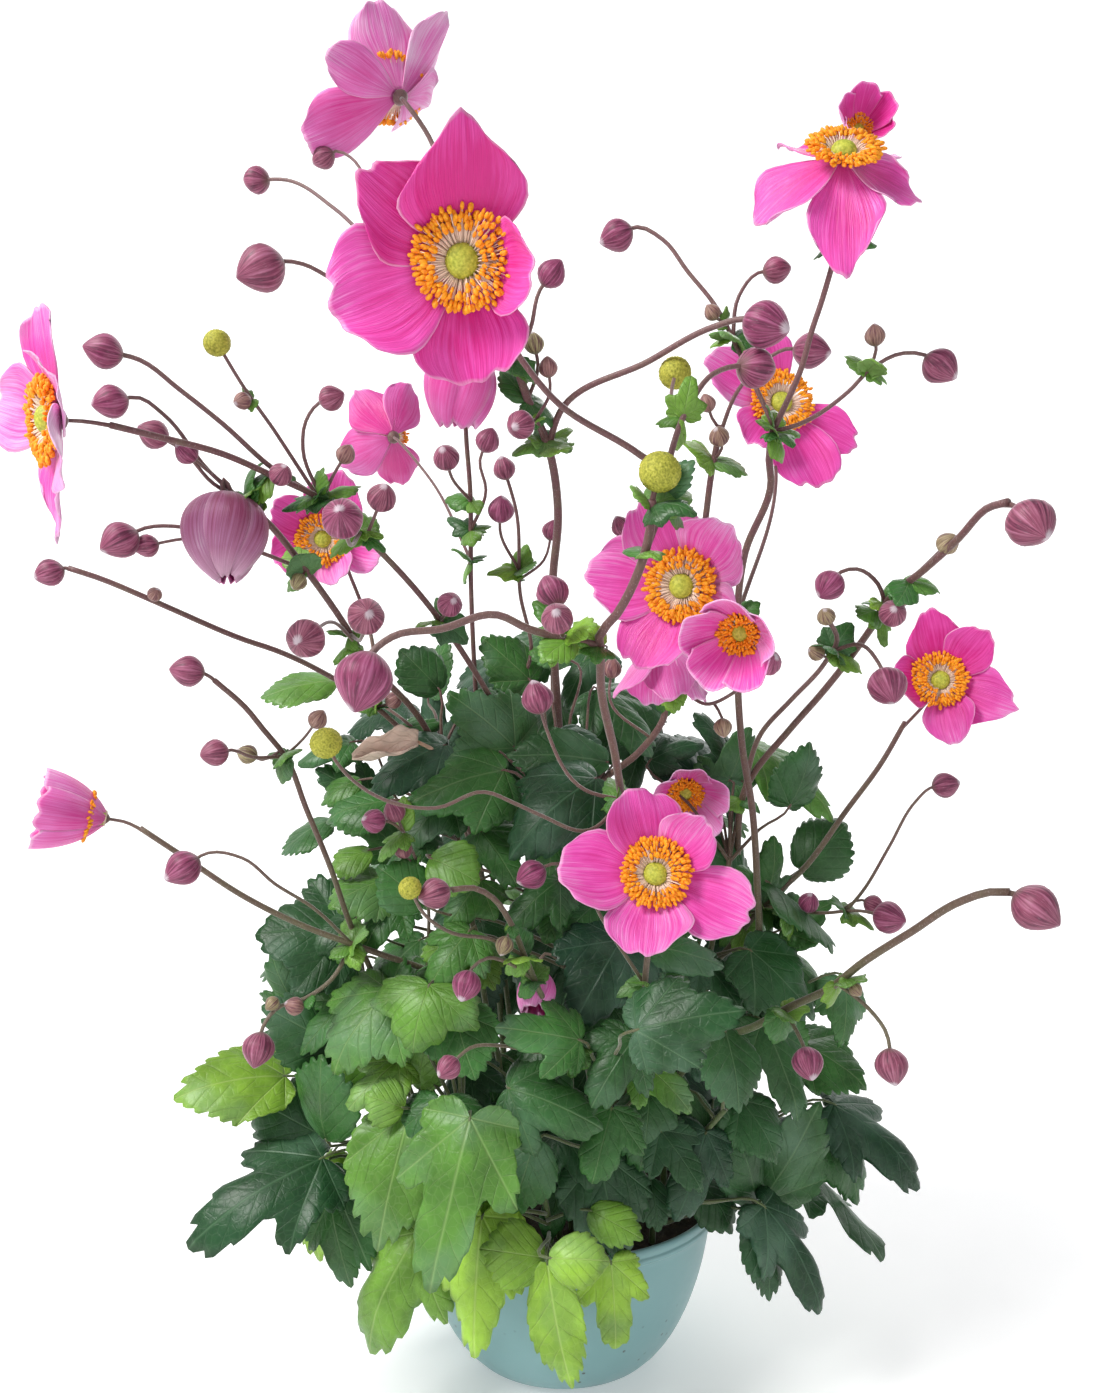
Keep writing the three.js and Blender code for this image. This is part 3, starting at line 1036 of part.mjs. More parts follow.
const leafyStems = Object.entries(LEAFY).map(([name, { hole, top, young, leaves }]) => {
  const rows = leaves.map(([junction, tip, width, kind]) => [seen(junction), seen(tip), width, kind, FRONT_BIAS]);
  return [name, young, { hole, top, leaves: rows }];
});
Object.entries(BACK_LEAFY).forEach(([name, leafy], i) => {
  leafyStems.push([name, 0, { ...leafy, leaves: backLeaves(leafy, 71 + 13 * i) }]);
});

const stemHole = (r) => (r + GAP) / Math.cos(Math.PI / SOIL.holeSides) + 0.1;
const holes = Object.values(STALKS).map(({ hole, r }) => [...hole, stemHole(r)]);
leafyStems.forEach(([, , { hole }]) => holes.push([...hole, stemHole(LEAFY_STEM)]));

addPiece('pot', 'pot', potSolid(), potClearance());
addPiece('soil', 'soil', soilSolid(holes), null);
for (const [name, row] of Object.entries(STALKS)) {
  const whole = stalk(row, isClear);
  addPiece(`stalk_${name}`, 'stalk', whole(0), whole(GAP));
}
for (const [name, bloom] of Object.entries(BLOOMS)) {
  if (bloom.heart) addPiece(`heart_${name}`, 'heart', heart(bloom, 0), heart(bloom, GAP));
  addPiece(`petals_${name}`, 'petals', petals(bloom, 0), petals(bloom, GAP));
}
for (const [name, young, row] of leafyStems) {
  const whole = leafyStem(row, isClear);
  addPiece(`leaves_${name}`, young ? 'young' : 'foliage', whole(0), whole(GAP));
}

export default group;
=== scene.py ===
# %% [markdown]
# A potted Japanese anemone: a bowl-shaped plastic pot, dark soil, leafy stems, flower stalks with
# buds and seed heads, and open blooms. The plain solids of the part come first, as a fixed frame.
# Everything below is finer than they are and stands in the same places, in metres.

# %% The frame
import math
import random

import bmesh
import bpy
from mathutils import Matrix, Vector, kdtree


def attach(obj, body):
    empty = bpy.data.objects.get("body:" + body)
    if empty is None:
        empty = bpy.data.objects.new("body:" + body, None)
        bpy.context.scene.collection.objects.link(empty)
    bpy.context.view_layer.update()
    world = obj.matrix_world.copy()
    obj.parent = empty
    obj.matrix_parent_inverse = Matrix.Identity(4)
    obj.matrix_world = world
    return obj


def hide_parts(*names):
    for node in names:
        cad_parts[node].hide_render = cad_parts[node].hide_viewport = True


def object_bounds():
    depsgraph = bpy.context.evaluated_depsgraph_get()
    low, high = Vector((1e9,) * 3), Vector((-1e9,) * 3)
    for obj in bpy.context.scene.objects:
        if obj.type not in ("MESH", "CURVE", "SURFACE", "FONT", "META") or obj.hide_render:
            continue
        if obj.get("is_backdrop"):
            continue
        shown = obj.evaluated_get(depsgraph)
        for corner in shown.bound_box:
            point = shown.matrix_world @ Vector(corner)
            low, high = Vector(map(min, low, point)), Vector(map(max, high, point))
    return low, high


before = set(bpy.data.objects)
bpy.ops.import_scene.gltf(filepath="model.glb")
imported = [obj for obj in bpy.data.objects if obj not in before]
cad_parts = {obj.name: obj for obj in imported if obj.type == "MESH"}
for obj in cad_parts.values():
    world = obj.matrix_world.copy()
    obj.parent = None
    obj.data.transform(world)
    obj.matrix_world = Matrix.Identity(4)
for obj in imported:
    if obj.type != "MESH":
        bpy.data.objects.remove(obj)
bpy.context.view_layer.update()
MM = 0.001
UP = Vector((0, 0, 1))
ROUND = 6.28  # a full turn in radians, near enough for a chance

# %% [markdown]
# The plant was laid out from the photograph: a place is x,y in a picture of 1114 x 1393 pixels
# with its depth in millimetres from the camera. The camera comes first, so that every later render
# can be held against the picture. It looks level along +Y, with the lens of a phone.

# %% The camera
VIEW = {"focal": 1150, "x": 557, "y": 696.5, "distance": 615, "eye": 345, "side": -3.3}
PICTURE_HEIGHT = 1393

camera_data = bpy.data.cameras.new("camera")
camera_data.sensor_width = 36
camera_data.lens = 36 * VIEW["focal"] / PICTURE_HEIGHT
camera_data.clip_start, camera_data.clip_end = 0.02, 20
camera = bpy.data.objects.new("camera", camera_data)
camera.location = Vector((VIEW["side"], -VIEW["distance"], VIEW["eye"])) * MM
camera.rotation_euler = (math.radians(90), 0, 0)
bpy.context.scene.collection.objects.link(camera)
bpy.context.scene.camera = camera
EYE = Vector(camera.location)
print("lens:", round(camera_data.lens, 2), "mm")


def seen(x, y, depth):
    """The place in space of a picture place and its depth in mm."""
    across = (x - VIEW["x"]) / VIEW["focal"] * depth
    rise = (VIEW["y"] - y) / VIEW["focal"] * depth
    return Vector((VIEW["side"] + across, depth - VIEW["distance"], VIEW["eye"] + rise)) * MM


def depth_of(point):
    """The depth in mm of a point in space."""
    return point.y / MM + VIEW["distance"]


def picture(point):
    """The picture place of a point in space."""
    depth = depth_of(point)
    x = VIEW["x"] + (point.x / MM - VIEW["side"]) / depth * VIEW["focal"]
    y = VIEW["y"] - (point.z / MM - VIEW["eye"]) / depth * VIEW["focal"]
    return x, y


def moved(point, shift):
    """A point moved along its line of sight by a shift in depth."""
    return EYE + (point - EYE) * ((depth_of(point) + shift) / depth_of(point))


def numbers(text):
    """The numbers of a place such as 455,790,592."""
    return [float(part) for part in text.split(",")]


# %% [markdown]
# Each kind of piece is drawn with a few operators of bmesh. A tube starts as a ring of points
# that is pushed out again and again along a line, and a sheet starts as a flat grid that is bent
# by a rule. The helpers keep these steps in one place. Every finished piece is one mesh at the
# origin that rides on the part's only body, and hides the plain solids that it stands for, where it has any.

# %% Helpers for meshes
def new_piece():
    """An empty bmesh with the layers that the finishes read."""
    bm = bmesh.new()
    bm.loops.layers.uv.new("UVMap")
    bm.verts.layers.float.new("tone")
    return bm


def gather(bm, part):
    """Adds a small bmesh to a large one: operators are far quicker on a small one."""
    mesh = bpy.data.meshes.new("part")
    part.to_mesh(mesh)
    part.free()
    bm.from_mesh(mesh)
    bpy.data.meshes.remove(mesh)


def chain(bm, points):
    """A row of edges from point to point."""
    verts = [bm.verts.new(point) for point in points]
    for pair in zip(verts, verts[1:]):
        bm.edges.new(pair)


def ring_edges(ring):
    """The edges between the points of a ring, each once and in order."""
    inside = set(ring)
    return list(dict.fromkeys(e for v in ring for e in v.link_edges if e.other_vert(v) in inside))


def tube(bm, line, radii, sides, tones=(0, 1)):
    """A closed tube along a line: one ring, extruded from point to point."""
    part = new_piece()
    tone = part.verts.layers.float["tone"]
    ring = bmesh.ops.create_circle(part, segments=sides, radius=1, cap_ends=True)["verts"]
    bmesh.ops.reverse_faces(part, faces=ring[0].link_faces[:])
    across = last = None
    for i, point in enumerate(line):
        share = i / (len(line) - 1)
        ahead = (line[min(i + 1, len(line) - 1)] - line[max(i - 1, 0)]).normalized()
        across = ahead.orthogonal() if across is None else across - ahead * across.dot(ahead)
        across.normalize()
        side = ahead.cross(across)
        radius = radii[0] + (radii[1] - radii[0]) * share
        place = Matrix((across * radius, side * radius, ahead * radius)).transposed().to_4x4()
        place.translation = point
        if last is not None:
            made = bmesh.ops.extrude_edge_only(part, edges=ring_edges(ring))["geom"]
            ring = [v for v in made if isinstance(v, bmesh.types.BMVert)]
        turn = place if last is None else place @ last.inverted()
        bmesh.ops.transform(part, matrix=turn, verts=ring)
        for v in ring:
            v[tone] = tones[0] + (tones[1] - tones[0]) * share
        last = place
    bmesh.ops.holes_fill(part, edges=ring_edges(ring), sides=sides)
    gather(bm, part)


def sheet(bm, columns, rows, shape, tone_value=0.0, front=None):
    """Fills an empty bmesh with a sheet, made from a flat grid: shape(u, v) gives the place of u
    from -1 to 1 and v from 0 to 1."""
    uv = bm.loops.layers.uv["UVMap"]
    tone = bm.verts.layers.float["tone"]
    bmesh.ops.create_grid(bm, x_segments=columns, y_segments=rows, size=1)
    flat = {v: (v.co.x, v.co.y / 2 + 0.5) for v in bm.verts}
    faces = bm.faces[:]
    for face in faces:
        for loop in face.loops:
            u, v = flat[loop.vert]
            loop[uv].uv = (u / 2 + 0.5, v)
    for v, (across, along) in flat.items():
        v.co = shape(across, along)
        v[tone] = tone_value
    if front is not None:
        turn_faces(bm, faces, faces[len(faces) // 2], front)
    return faces


def turn_faces(bm, faces, sample, front):
    """Turns the faces over if one of them, the sample, looks away from a direction."""
    sample.normal_update()
    if sample.normal.dot(front) < 0:
        bmesh.ops.reverse_faces(bm, faces=faces)


def ball(bm, columns, rows, shape, tone_value=0.0):
    """A closed ball: shape(direction) gives the place of each point of a unit sphere."""
    part = new_piece()
    uv = part.loops.layers.uv["UVMap"]
    tone = part.verts.layers.float["tone"]
    bmesh.ops.create_uvsphere(part, u_segments=columns, v_segments=rows, radius=1)
    for face in part.faces:
        middle = face.calc_center_median()
        around = math.atan2(middle.y, middle.x)
        for loop in face.loops:
            co = loop.vert.co
            turn = math.atan2(co.y, co.x) if co.xy.length > 1e-5 else around
            turn = around + (turn - around + math.pi) % (2 * math.pi) - math.pi
            loop[uv].uv = (turn / (2 * math.pi) + 0.5, co.z / 2 + 0.5)
    for v in part.verts:
        v.co = shape(v.co.copy())
        v[tone] = tone_value
    gather(bm, part)


def axes_along(direction, turn=0.0):
    """Two directions square to a direction."""
    across = direction.orthogonal().normalized()
    across.rotate(Matrix.Rotation(turn, 3, direction))
    return across, direction.cross(across)


def between(steps, share):
    """The value of a list of share,value steps at a share, on straight lines."""
    for (a, low), (b, high) in zip(steps, steps[1:]):
        if share <= b:
            return low + (high - low) * max(0.0, share - a) / (b - a)
    return steps[-1][1]


def smooth_line(points, step):
    """A smooth line through points, with a place every step or so."""
    ahead = []
    for i, point in enumerate(points):
        before = point - points[max(i - 1, 0)]
        after = points[min(i + 1, len(points) - 1)] - point
        way = before.normalized() * after.length + after.normalized() * before.length
        ahead.append(way.normalized() if way.length > 1e-9 else (before + after).normalized())
    line = [points[0]]
    for start, end, leaving, coming in zip(points, points[1:], ahead, ahead[1:]):
        span = (end - start).length
        pieces = max(1, round(span / step))
        for k in range(1, pieces + 1):
            t = k / pieces
            a, b = 2 * t**3 - 3 * t**2 + 1, t**3 - 2 * t**2 + t
            c, d = 3 * t**2 - 2 * t**3, t**3 - t**2
            line.append(a * start + b * span * leaving + c * end + d * span * coming)
    return line


def finished(name, bm, finishes, nodes=(), thickness=0):
    """Makes the piece from its bmesh, in place, on the part's body. A sheet gets its thickness in
    mm, half on each side, and its back the second finish."""
    mesh = bpy.data.meshes.new(name)
    for face in bm.faces:
        face.smooth = True
    bm.to_mesh(mesh)
    bm.free()
    piece = bpy.data.objects.new(name, mesh)
    bpy.context.scene.collection.objects.link(piece)
    for finish in finishes:
        mesh.materials.append(finish)
    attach(piece, "root")
    if nodes:
        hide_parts(*nodes)
    if thickness:
        wall = piece.modifiers.new("thickness", "SOLIDIFY")
        wall.thickness = thickness * MM
        wall.offset = 0
        wall.material_offset = len(finishes) - 1
    return piece


print("helpers ready")
# %% [markdown]
# The finishes are built from nodes. Plants are never one flat colour: petals carry fine veins that
# run from their base and pale towards the edge, with painted shade at their foot and a thin rim that
# is partly a pale margin and partly a painted highlight, buds are striped and silky, leaves have
# pale veins, puffed fields between them and patches of painted sheen, and stems turn from green
# at the soil to purple-brown above.
# A wire is a value on its way to the shader. Arithmetic with it adds a node, so that each finish
# reads as a short list of what is on what. Stops of a ramp are place,colour, or place,grey.

# %% Helpers for finishes
class Wire:
    """A value that runs through a finish."""

    def __init__(self, finish, socket):
        self.finish, self.socket = finish, socket

    def __add__(self, other):
        return self.finish.math("ADD", self, other)

    def __sub__(self, other):
        return self.finish.math("SUBTRACT", self, other)

    def __rsub__(self, other):
        return self.finish.math("SUBTRACT", other, self)

    def __mul__(self, other):
        return self.finish.math("MULTIPLY", self, other)

    def __abs__(self):
        return self.finish.math("ABSOLUTE", self)


class Finish:
    """A material whose nodes are added one by one."""

    def __init__(self, name, roughness, **sockets):
        self.material = bpy.data.materials.new(name)
        self.material.use_nodes = True
        self.shader = self.material.node_tree.nodes["Principled BSDF"]
        self.shader.inputs["Roughness"].default_value = roughness
        for key, value in sockets.items():
            self.shader.inputs[key.replace("_", " ")].default_value = value

    def put(self, node, key, value):
        if isinstance(value, Wire):
            self.material.node_tree.links.new(value.socket, node.inputs[key])
        else:
            node.inputs[key].default_value = value

    def node(self, kind, inputs=None, output=0, **settings):
        node = self.material.node_tree.nodes.new("ShaderNode" + kind)
        for key, value in settings.items():
            setattr(node, key, value)
        for key, value in (inputs or {}).items():
            self.put(node, key, value)
        return Wire(self, node.outputs[output])

    def uv(self):
        return self.node("UVMap", uv_map="UVMap")

    def place(self):
        return self.node("TexCoord", output="Object")

    def tone(self):
        return self.node("Attribute", output="Fac", attribute_name="tone")

    def split(self, vector):
        first = self.node("SeparateXYZ", {0: vector})
        return [Wire(self, output) for output in first.socket.node.outputs]

    def scaled(self, vector, scale):
        return self.node("Mapping", {"Vector": vector, "Scale": scale})

    def noise(self, vector, scale, detail=3.0, rough=0.5):
        inputs = {"Vector": vector, "Scale": scale, "Detail": detail, "Roughness": rough}
        return self.node("TexNoise", inputs, "Fac")

    def cells(self, scale, feature="F1"):
        return self.node("TexVoronoi", {"Vector": self.place(), "Scale": scale}, "Distance", feature=feature)

    def math(self, operation, a, b=0.0):
        return self.node("Math", {0: a, 1: b, 2: 0.0}, operation=operation)

    def ramp(self, value, *stops):
        ramp = self.node("ValToRGB", {"Fac": value}, "Color")
        elements = ramp.socket.node.color_ramp.elements
        while len(elements) < len(stops):
            elements.new(0.5)
        for element, (place, colour) in zip(elements, stops):
            element.position = place
            element.color = (*(colour if isinstance(colour, tuple) else [colour] * 3), 1)
        return ramp

    def mix(self, share, a, b, blend="MIX"):
        first, second = [(*c, 1) if isinstance(c, tuple) else c for c in (a, b)]
        return self.node("Mix", {0: share, 6: first, 7: second}, 2, data_type="RGBA", blend_type=blend)

    def end(self, colour, height, strength, distance):
        """The last nodes: the colour, and the relief with its depth in metres."""
        self.put(self.shader, "Base Color", colour)
        inputs = {"Height": height, "Strength": strength, "Distance": distance}
        self.put(self.shader, "Normal", self.node("Bump", inputs))
        return self.material


def rgb(red, green, blue):
    """A colour as it is seen on a screen, 0 to 255, for a shader."""
    shares = [c / 255 for c in (red, green, blue)]
    return tuple(c / 12.92 if c <= 0.04045 else ((c + 0.055) / 1.055) ** 2.4 for c in shares)


print("magenta as the shader reads it:", [round(c, 3) for c in rgb(224, 60, 160)])
# %% Finish of petals
def petal_finish(name, deep, light, pale, veins, roughness, rim_start=0.96):
    """Silky petal: streaked along its length, darker at its foot as painted shade, with a thin pale rim that
    is partly a pale margin and partly a painted highlight; tone 0 is deep, 1 is light.
    """
    f = Finish(name, roughness, Sheen_Weight=0.12, Sheen_Roughness=0.4)
    uv = f.uv()
    across, along, _ = f.split(uv)
    streaks = f.noise(f.scaled(uv, (16, 0.7, 1)), 1.6, 4.0, 0.62)
    fine = f.noise(f.scaled(uv, (80, 1.4, 1)), 1.0, 2.0)
    clouds = f.noise(f.place(), 48, 2.0)
    reach = f.math("MAXIMUM", abs(across - 0.5) * 2.0, along)
    # A thin pale rim: partly the petal's own pale margin, partly a painted highlight along its edge.
    rim = f.ramp(reach, (rim_start, 0), (0.99, 1)) * (clouds + 0.1)
    wide = f.ramp(reach, (0.55, 0), (1.0, 1))
    share = f.tone() + wide * 0.22 + (clouds - 0.5) * 0.9 + (streaks - 0.5) * 1.5
    base = f.ramp(share, (0.0, deep), (0.55, light), (1.0, pale))
    lines = f.ramp(fine, (0.40, 1), (0.46, 0), (0.54, 0), (0.60, 1))
    base = f.mix((1.0 - lines) * 0.28, base, veins)
    # Darker towards the foot, round the heart: painted shade.
    foot = f.ramp(along, (0.05, 1), (0.3, 0))
    base = f.mix(foot * 0.45, base, veins)
    return f.end(f.mix(rim * 0.6, base, rgb(246, 214, 234)), fine + streaks, 0.5, 0.0008)


petal_face = petal_finish(
    "petal_face", rgb(212, 12, 132), rgb(240, 86, 190), rgb(242, 168, 226), rgb(190, 10, 118), 0.42)
petal_back = petal_finish(
    "petal_back", rgb(222, 48, 148), rgb(234, 122, 200), rgb(244, 204, 236), rgb(192, 44, 134), 0.4)
petal_closed = petal_finish(
    "petal_closed", rgb(142, 56, 96), rgb(186, 122, 164), rgb(238, 224, 238), rgb(108, 38, 72), 0.42, 0.8)
print("petal finishes:", petal_face.name, petal_back.name, petal_closed.name)

# %% Finish of buds
# Mauve, with dark stripes from base to tip and a silvery tip; tone 1 is a green bud.
f = Finish("bud_skin", 0.55, Sheen_Weight=0.4, Sheen_Roughness=0.3)
uv = f.uv()
around, up, _ = f.split(uv)
stripes = f.noise(f.scaled(uv, (30, 0.8, 1)), 1.3, 3.0, 0.6)
hairs = f.noise(f.scaled(uv, (120, 7, 1)), 1.0, 2.0)
mauve = f.ramp(stripes, (0.36, rgb(86, 26, 58)), (0.5, rgb(136, 50, 92)), (0.66, rgb(172, 92, 134)))
fresh = f.ramp(stripes, (0.4, rgb(104, 74, 70)), (0.52, rgb(148, 150, 92)), (0.64, rgb(184, 180, 132)))
base = f.mix(f.tone(), mauve, fresh)
base = f.mix(f.ramp(hairs, (0.58, 0), (0.8, 0.24)), base, rgb(220, 200, 212))
tip = up + (stripes - 0.5) * 0.2 + f.math("SINE", around * (2 * math.pi)) * 0.07
base = f.mix(f.ramp(tip, (0.93, 0), (1.0, 1)) * 0.65, base, rgb(224, 216, 224))
base = f.mix(f.ramp(up, (0.0, 1), (0.14, 0)) * 0.6, base, rgb(86, 84, 56))
bud_skin = f.end(base, stripes, 0.5, 0.0005)

# %% Finish of hearts
# Carpels (tone 0), pale filaments (0.5) and orange anthers (1).
f = Finish("heart_parts", 0.6)
kind = f.tone()
grain = f.noise(f.place(), 900, 2.0)
eye = f.ramp(grain, (0.3, rgb(150, 158, 40)), (0.7, rgb(206, 208, 80)))
anther = f.ramp(grain, (0.3, rgb(238, 126, 4)), (0.7, rgb(255, 182, 22)))
inner = f.mix(f.ramp(kind, (0.2, 0), (0.3, 1)), eye, rgb(250, 220, 202))
heart_parts = f.end(f.mix(f.ramp(kind, (0.7, 0), (0.8, 1)), inner, anther), grain, 0.4, 0.0004)

# %% Finish of stems
# Green near the soil, purple-brown above, paler and silky near the buds.
f = Finish("stem_skin", 0.55, Sheen_Weight=0.5, Sheen_Roughness=0.35)
place = f.place()
grain = f.noise(f.scaled(place, (1, 1, 0.25)), 900, 2.0)
level = f.split(place)[2] + f.noise(place, 34, 3.0) * 0.14
base = f.ramp(level, (0.24, rgb(88, 112, 58)), (0.36, rgb(104, 76, 62)), (0.5, rgb(112, 64, 70)))
base = f.mix(f.ramp(f.noise(place, 120, 3.0), (0.5, 0), (0.7, 1)) * 0.35, base, rgb(112, 116, 72))
base = f.mix(f.tone() * 0.6, base, rgb(146, 116, 112))
base = f.mix(grain * 0.6, base, rgb(58, 36, 40))
hairs = f.ramp(f.noise(f.scaled(place, (1, 1, 0.4)), 2200, 1.0), (0.6, 0), (0.75, 0.3))
stem_skin = f.end(f.mix(hairs, base, rgb(200, 180, 178)), grain, 0.3, 0.0004)

# %% Finish of seed heads
# Yellow-green, mottled in fine grain from dull to pale.
f = Finish("seed_head", 0.7)
grain = f.noise(f.place(), 1100, 3.0)
base = f.ramp(grain, (0.3, rgb(128, 132, 40)), (0.55, rgb(180, 178, 62)), (0.8, rgb(214, 208, 100)))
seed_skin = f.end(base, grain, 0.6, 0.0006)
print("finishes for stalks:", bud_skin.name, heart_parts.name, stem_skin.name, seed_skin.name)

# %% Finish of leaves
def leaf_finish(name, old, green, young, vein_old, vein_young, roughness):
    """Leaf skin: veins from the leaf's own map, fields puffed between them, tone from old to young, and pale
    blue-grey patches of painted sheen.
    """
    f = Finish(name, roughness, Coat_Weight=0.14, Coat_Roughness=0.28, Specular_IOR_Level=0.3)
    from_left, along, _ = f.split(f.uv())
    across = abs(from_left - 0.5)
    slant = across * 1.15 + f.noise(f.place(), 60, 1.0) * 0.12
    wave = abs(f.math("FRACT", (along - slant) * 5.0) - 0.5)
    side_veins = f.ramp(wave, (0.0, 0), (0.465, 0), (0.498, 1))
    midrib = f.ramp(across, (0.0, 1), (0.014, 0))
    puffed = (1.0 - f.math("POWER", wave * 2.0, 6.0)) * f.ramp(across, (0.0, 0), (0.09, 1))
    net = f.ramp(f.cells(260.0, "DISTANCE_TO_EDGE"), (0.0, 1), (0.10, 0))
    veins = f.math("MAXIMUM", f.math("MAXIMUM", side_veins * 0.55, midrib), net * 0.22)
    clouds = f.noise(f.place(), 42, 3.0, 0.6)
    fine = f.noise(f.place(), 240, 3.0, 0.6)
    tone = f.tone()
    base = f.ramp(tone, (0.0, old), (0.42, green), (1.0, young))
    base = f.mix(0.75, base, f.ramp(clouds, (0.35, (0.34, 0.36, 0.34)), (0.65, 1)), "MULTIPLY")
    base = f.mix(fine * 0.22, base, green)
    # Pale blue-grey patches: painted sheen, the reflection of the sky on the glossy blades.
    painted_sheen = f.ramp(f.noise(f.place(), 30, 2.0), (0.52, 0), (0.72, 1))
    base = f.mix(painted_sheen * 0.36, base, rgb(116, 150, 128))
    base = f.mix(veins * 0.34, base, f.mix(tone, vein_old, vein_young))
    return f.end(base, fine * 0.35 + puffed * 0.3 + clouds * 1.2 - veins * 0.35, 0.6, 0.0016)


leaf_face = leaf_finish(
    "leaf_face", rgb(12, 50, 40), rgb(66, 124, 52), rgb(166, 212, 68),
    rgb(92, 134, 104), rgb(206, 230, 140), 0.42)
leaf_back = leaf_finish(
    "leaf_back", rgb(50, 92, 66), rgb(98, 144, 78), rgb(166, 206, 104),
    rgb(140, 170, 124), rgb(200, 224, 144), 0.6)
leaf_withered = leaf_finish(
    "leaf_withered", rgb(206, 158, 126), rgb(248, 206, 184), rgb(252, 234, 220),
    rgb(180, 134, 108), rgb(200, 160, 134), 0.7)
print("leaf finishes:", leaf_face.name, leaf_back.name, leaf_withered.name)

# %% Finish of pot
# Satin teal plastic with faint scuffs and a few specks of soil near its foot.
f = Finish("pot_plastic", 0.36, Coat_Weight=0.1, Coat_Roughness=0.3)
place = f.place()
base = f.mix(f.noise(place, 26, 3.0) * 0.35, rgb(124, 166, 168), rgb(104, 146, 150))
dots = f.ramp(f.cells(150.0), (0.10, 1), (0.16, 0))
where = f.ramp(f.noise(place, 60, 2.0), (0.48, 0), (0.58, 1))
low = f.ramp(f.split(place)[2], (0.0, 1), (0.03, 0.8), (0.05, 0))
f.put(f.shader, "Roughness", f.ramp(f.noise(place, 70, 4.0, 0.7), (0.3, 0.32), (0.8, 0.48)))
pot_plastic = f.end(f.mix(dots * where * low, base, rgb(58, 44, 34)), f.noise(place, 900, 2.0), 0.08, 0.0003)

# %% Finish of soil
# Dark, with pale fibres and grains.
f = Finish("potting_soil", 0.95)
crumbs = f.noise(f.place(), 260, 6.0, 0.7)
base = f.ramp(crumbs, (0.3, rgb(24, 17, 13)), (0.55, rgb(54, 40, 30)), (0.75, rgb(92, 72, 54)))
pale = f.ramp(f.cells(320.0), (0.06, 1), (0.11, 0))
potting_soil = f.end(f.mix(pale * 0.5, base, rgb(150, 130, 104)), crumbs, 0.9, 0.002)
print("finishes for the base:", pot_plastic.name, potting_soil.name)

# %% [markdown]
# The pot is moulded plastic: a bowl with a straight rim band, a flat foot and four drain holes.
# A turned body like this is drawn as half of its outline and spun round the axis. The floor is a
# disc with four holes, filled between the circles, because a spin can't leave holes in a disc.

# %% Pot
POT = {
    "rim": 82, "height": 84, "foot": 40, "body": 78.5, "bulge": 1.74, "wall": 2.2, "floor": 3,
    "band": 8, "hole": 4, "holes_at": 24, "sides": 96,
}
SOIL = {"edge": 73, "crown": 77, "depth": 16, "sides": 90, "rough_above": 71}
GAP = 0.3
LIP = POT["height"] - POT["band"]


def wall_radius(height):
    """The pot's outer radius in mm at a height under its rim band."""
    rise = (1 - (1 - height / POT["height"]) ** POT["bulge"]) ** (1 / POT["bulge"])
    return POT["foot"] + (POT["body"] - POT["foot"]) * rise


def pot_profile():
    """The pot's outline in mm, from the outer edge of its foot over the rim to the inner floor."""
    heights = [LIP * i / 16 for i in range(1, 17)]
    rim, wall, top = POT["rim"], POT["wall"], POT["height"]
    band = [(rim - 0.9, LIP + 0.2), (rim, LIP + 1), (rim, LIP + 3.2), (rim - 0.5, LIP + 3.7)]
    band += [(rim, LIP + 4.2), (rim, top - 0.6), (rim - 0.5, top)]
    band += [(rim - wall + 0.5, top), (rim - wall, top - 0.6)]
    outside = [(wall_radius(height), height) for height in heights]
    inside = [(radius - wall, height) for radius, height in outside[::-1] if height > 4]
    return [(POT["foot"], 0)] + outside + band + inside + [(wall_radius(3) - wall, POT["floor"])]


def spun(profile, sides):
    """A body spun round the upright axis from half of its outline in mm."""
    bm = new_piece()
    chain(bm, [(radius * MM, 0, height * MM) for radius, height in profile])
    bmesh.ops.spin(
        bm, geom=bm.verts[:] + bm.edges[:], cent=(0, 0, 0), axis=(0, 0, 1),
        angle=2 * math.pi, steps=sides, use_merge=True)
    return bm


bm = spun(pot_profile(), POT["sides"])
holes = []
for i in range(4):
    angle = 2 * math.pi * (i + 0.5) / 4
    holes.append(Vector((math.cos(angle), math.sin(angle), 0)) * POT["holes_at"] * MM)
for height in (0, POT["floor"]):
    edges = [
        e for e in bm.edges
        if e.is_boundary and all(abs(v.co.z - height * MM) < 1e-5 for v in e.verts)]
    for centre in holes:
        ring = bmesh.ops.create_circle(
            bm, segments=20, radius=POT["hole"] * MM,
            matrix=Matrix.Translation(centre + UP * height * MM))["verts"]
        edges += ring_edges(ring)
    bmesh.ops.triangle_fill(bm, use_beauty=True, edges=edges, normal=(0, 0, 1 if height else -1))
for centre in holes:
    near = [e for e in bm.edges if e.is_boundary and (e.verts[0].co.xy - centre.xy).length < 6 * MM]
    bmesh.ops.bridge_loops(bm, edges=near)
bmesh.ops.recalc_face_normals(bm, faces=bm.faces)
pot = finished("pot_shell", bm, [pot_plastic], ["pot"])
print("pot:", len(pot.data.polygons), "faces")

# %% Soil
def soil_height(radius):
    """The height of the soil in mm at a distance from the pot's axis."""
    share = radius / (POT["rim"] - POT["wall"])
    return SOIL["crown"] + (SOIL["edge"] - SOIL["crown"]) * share * share


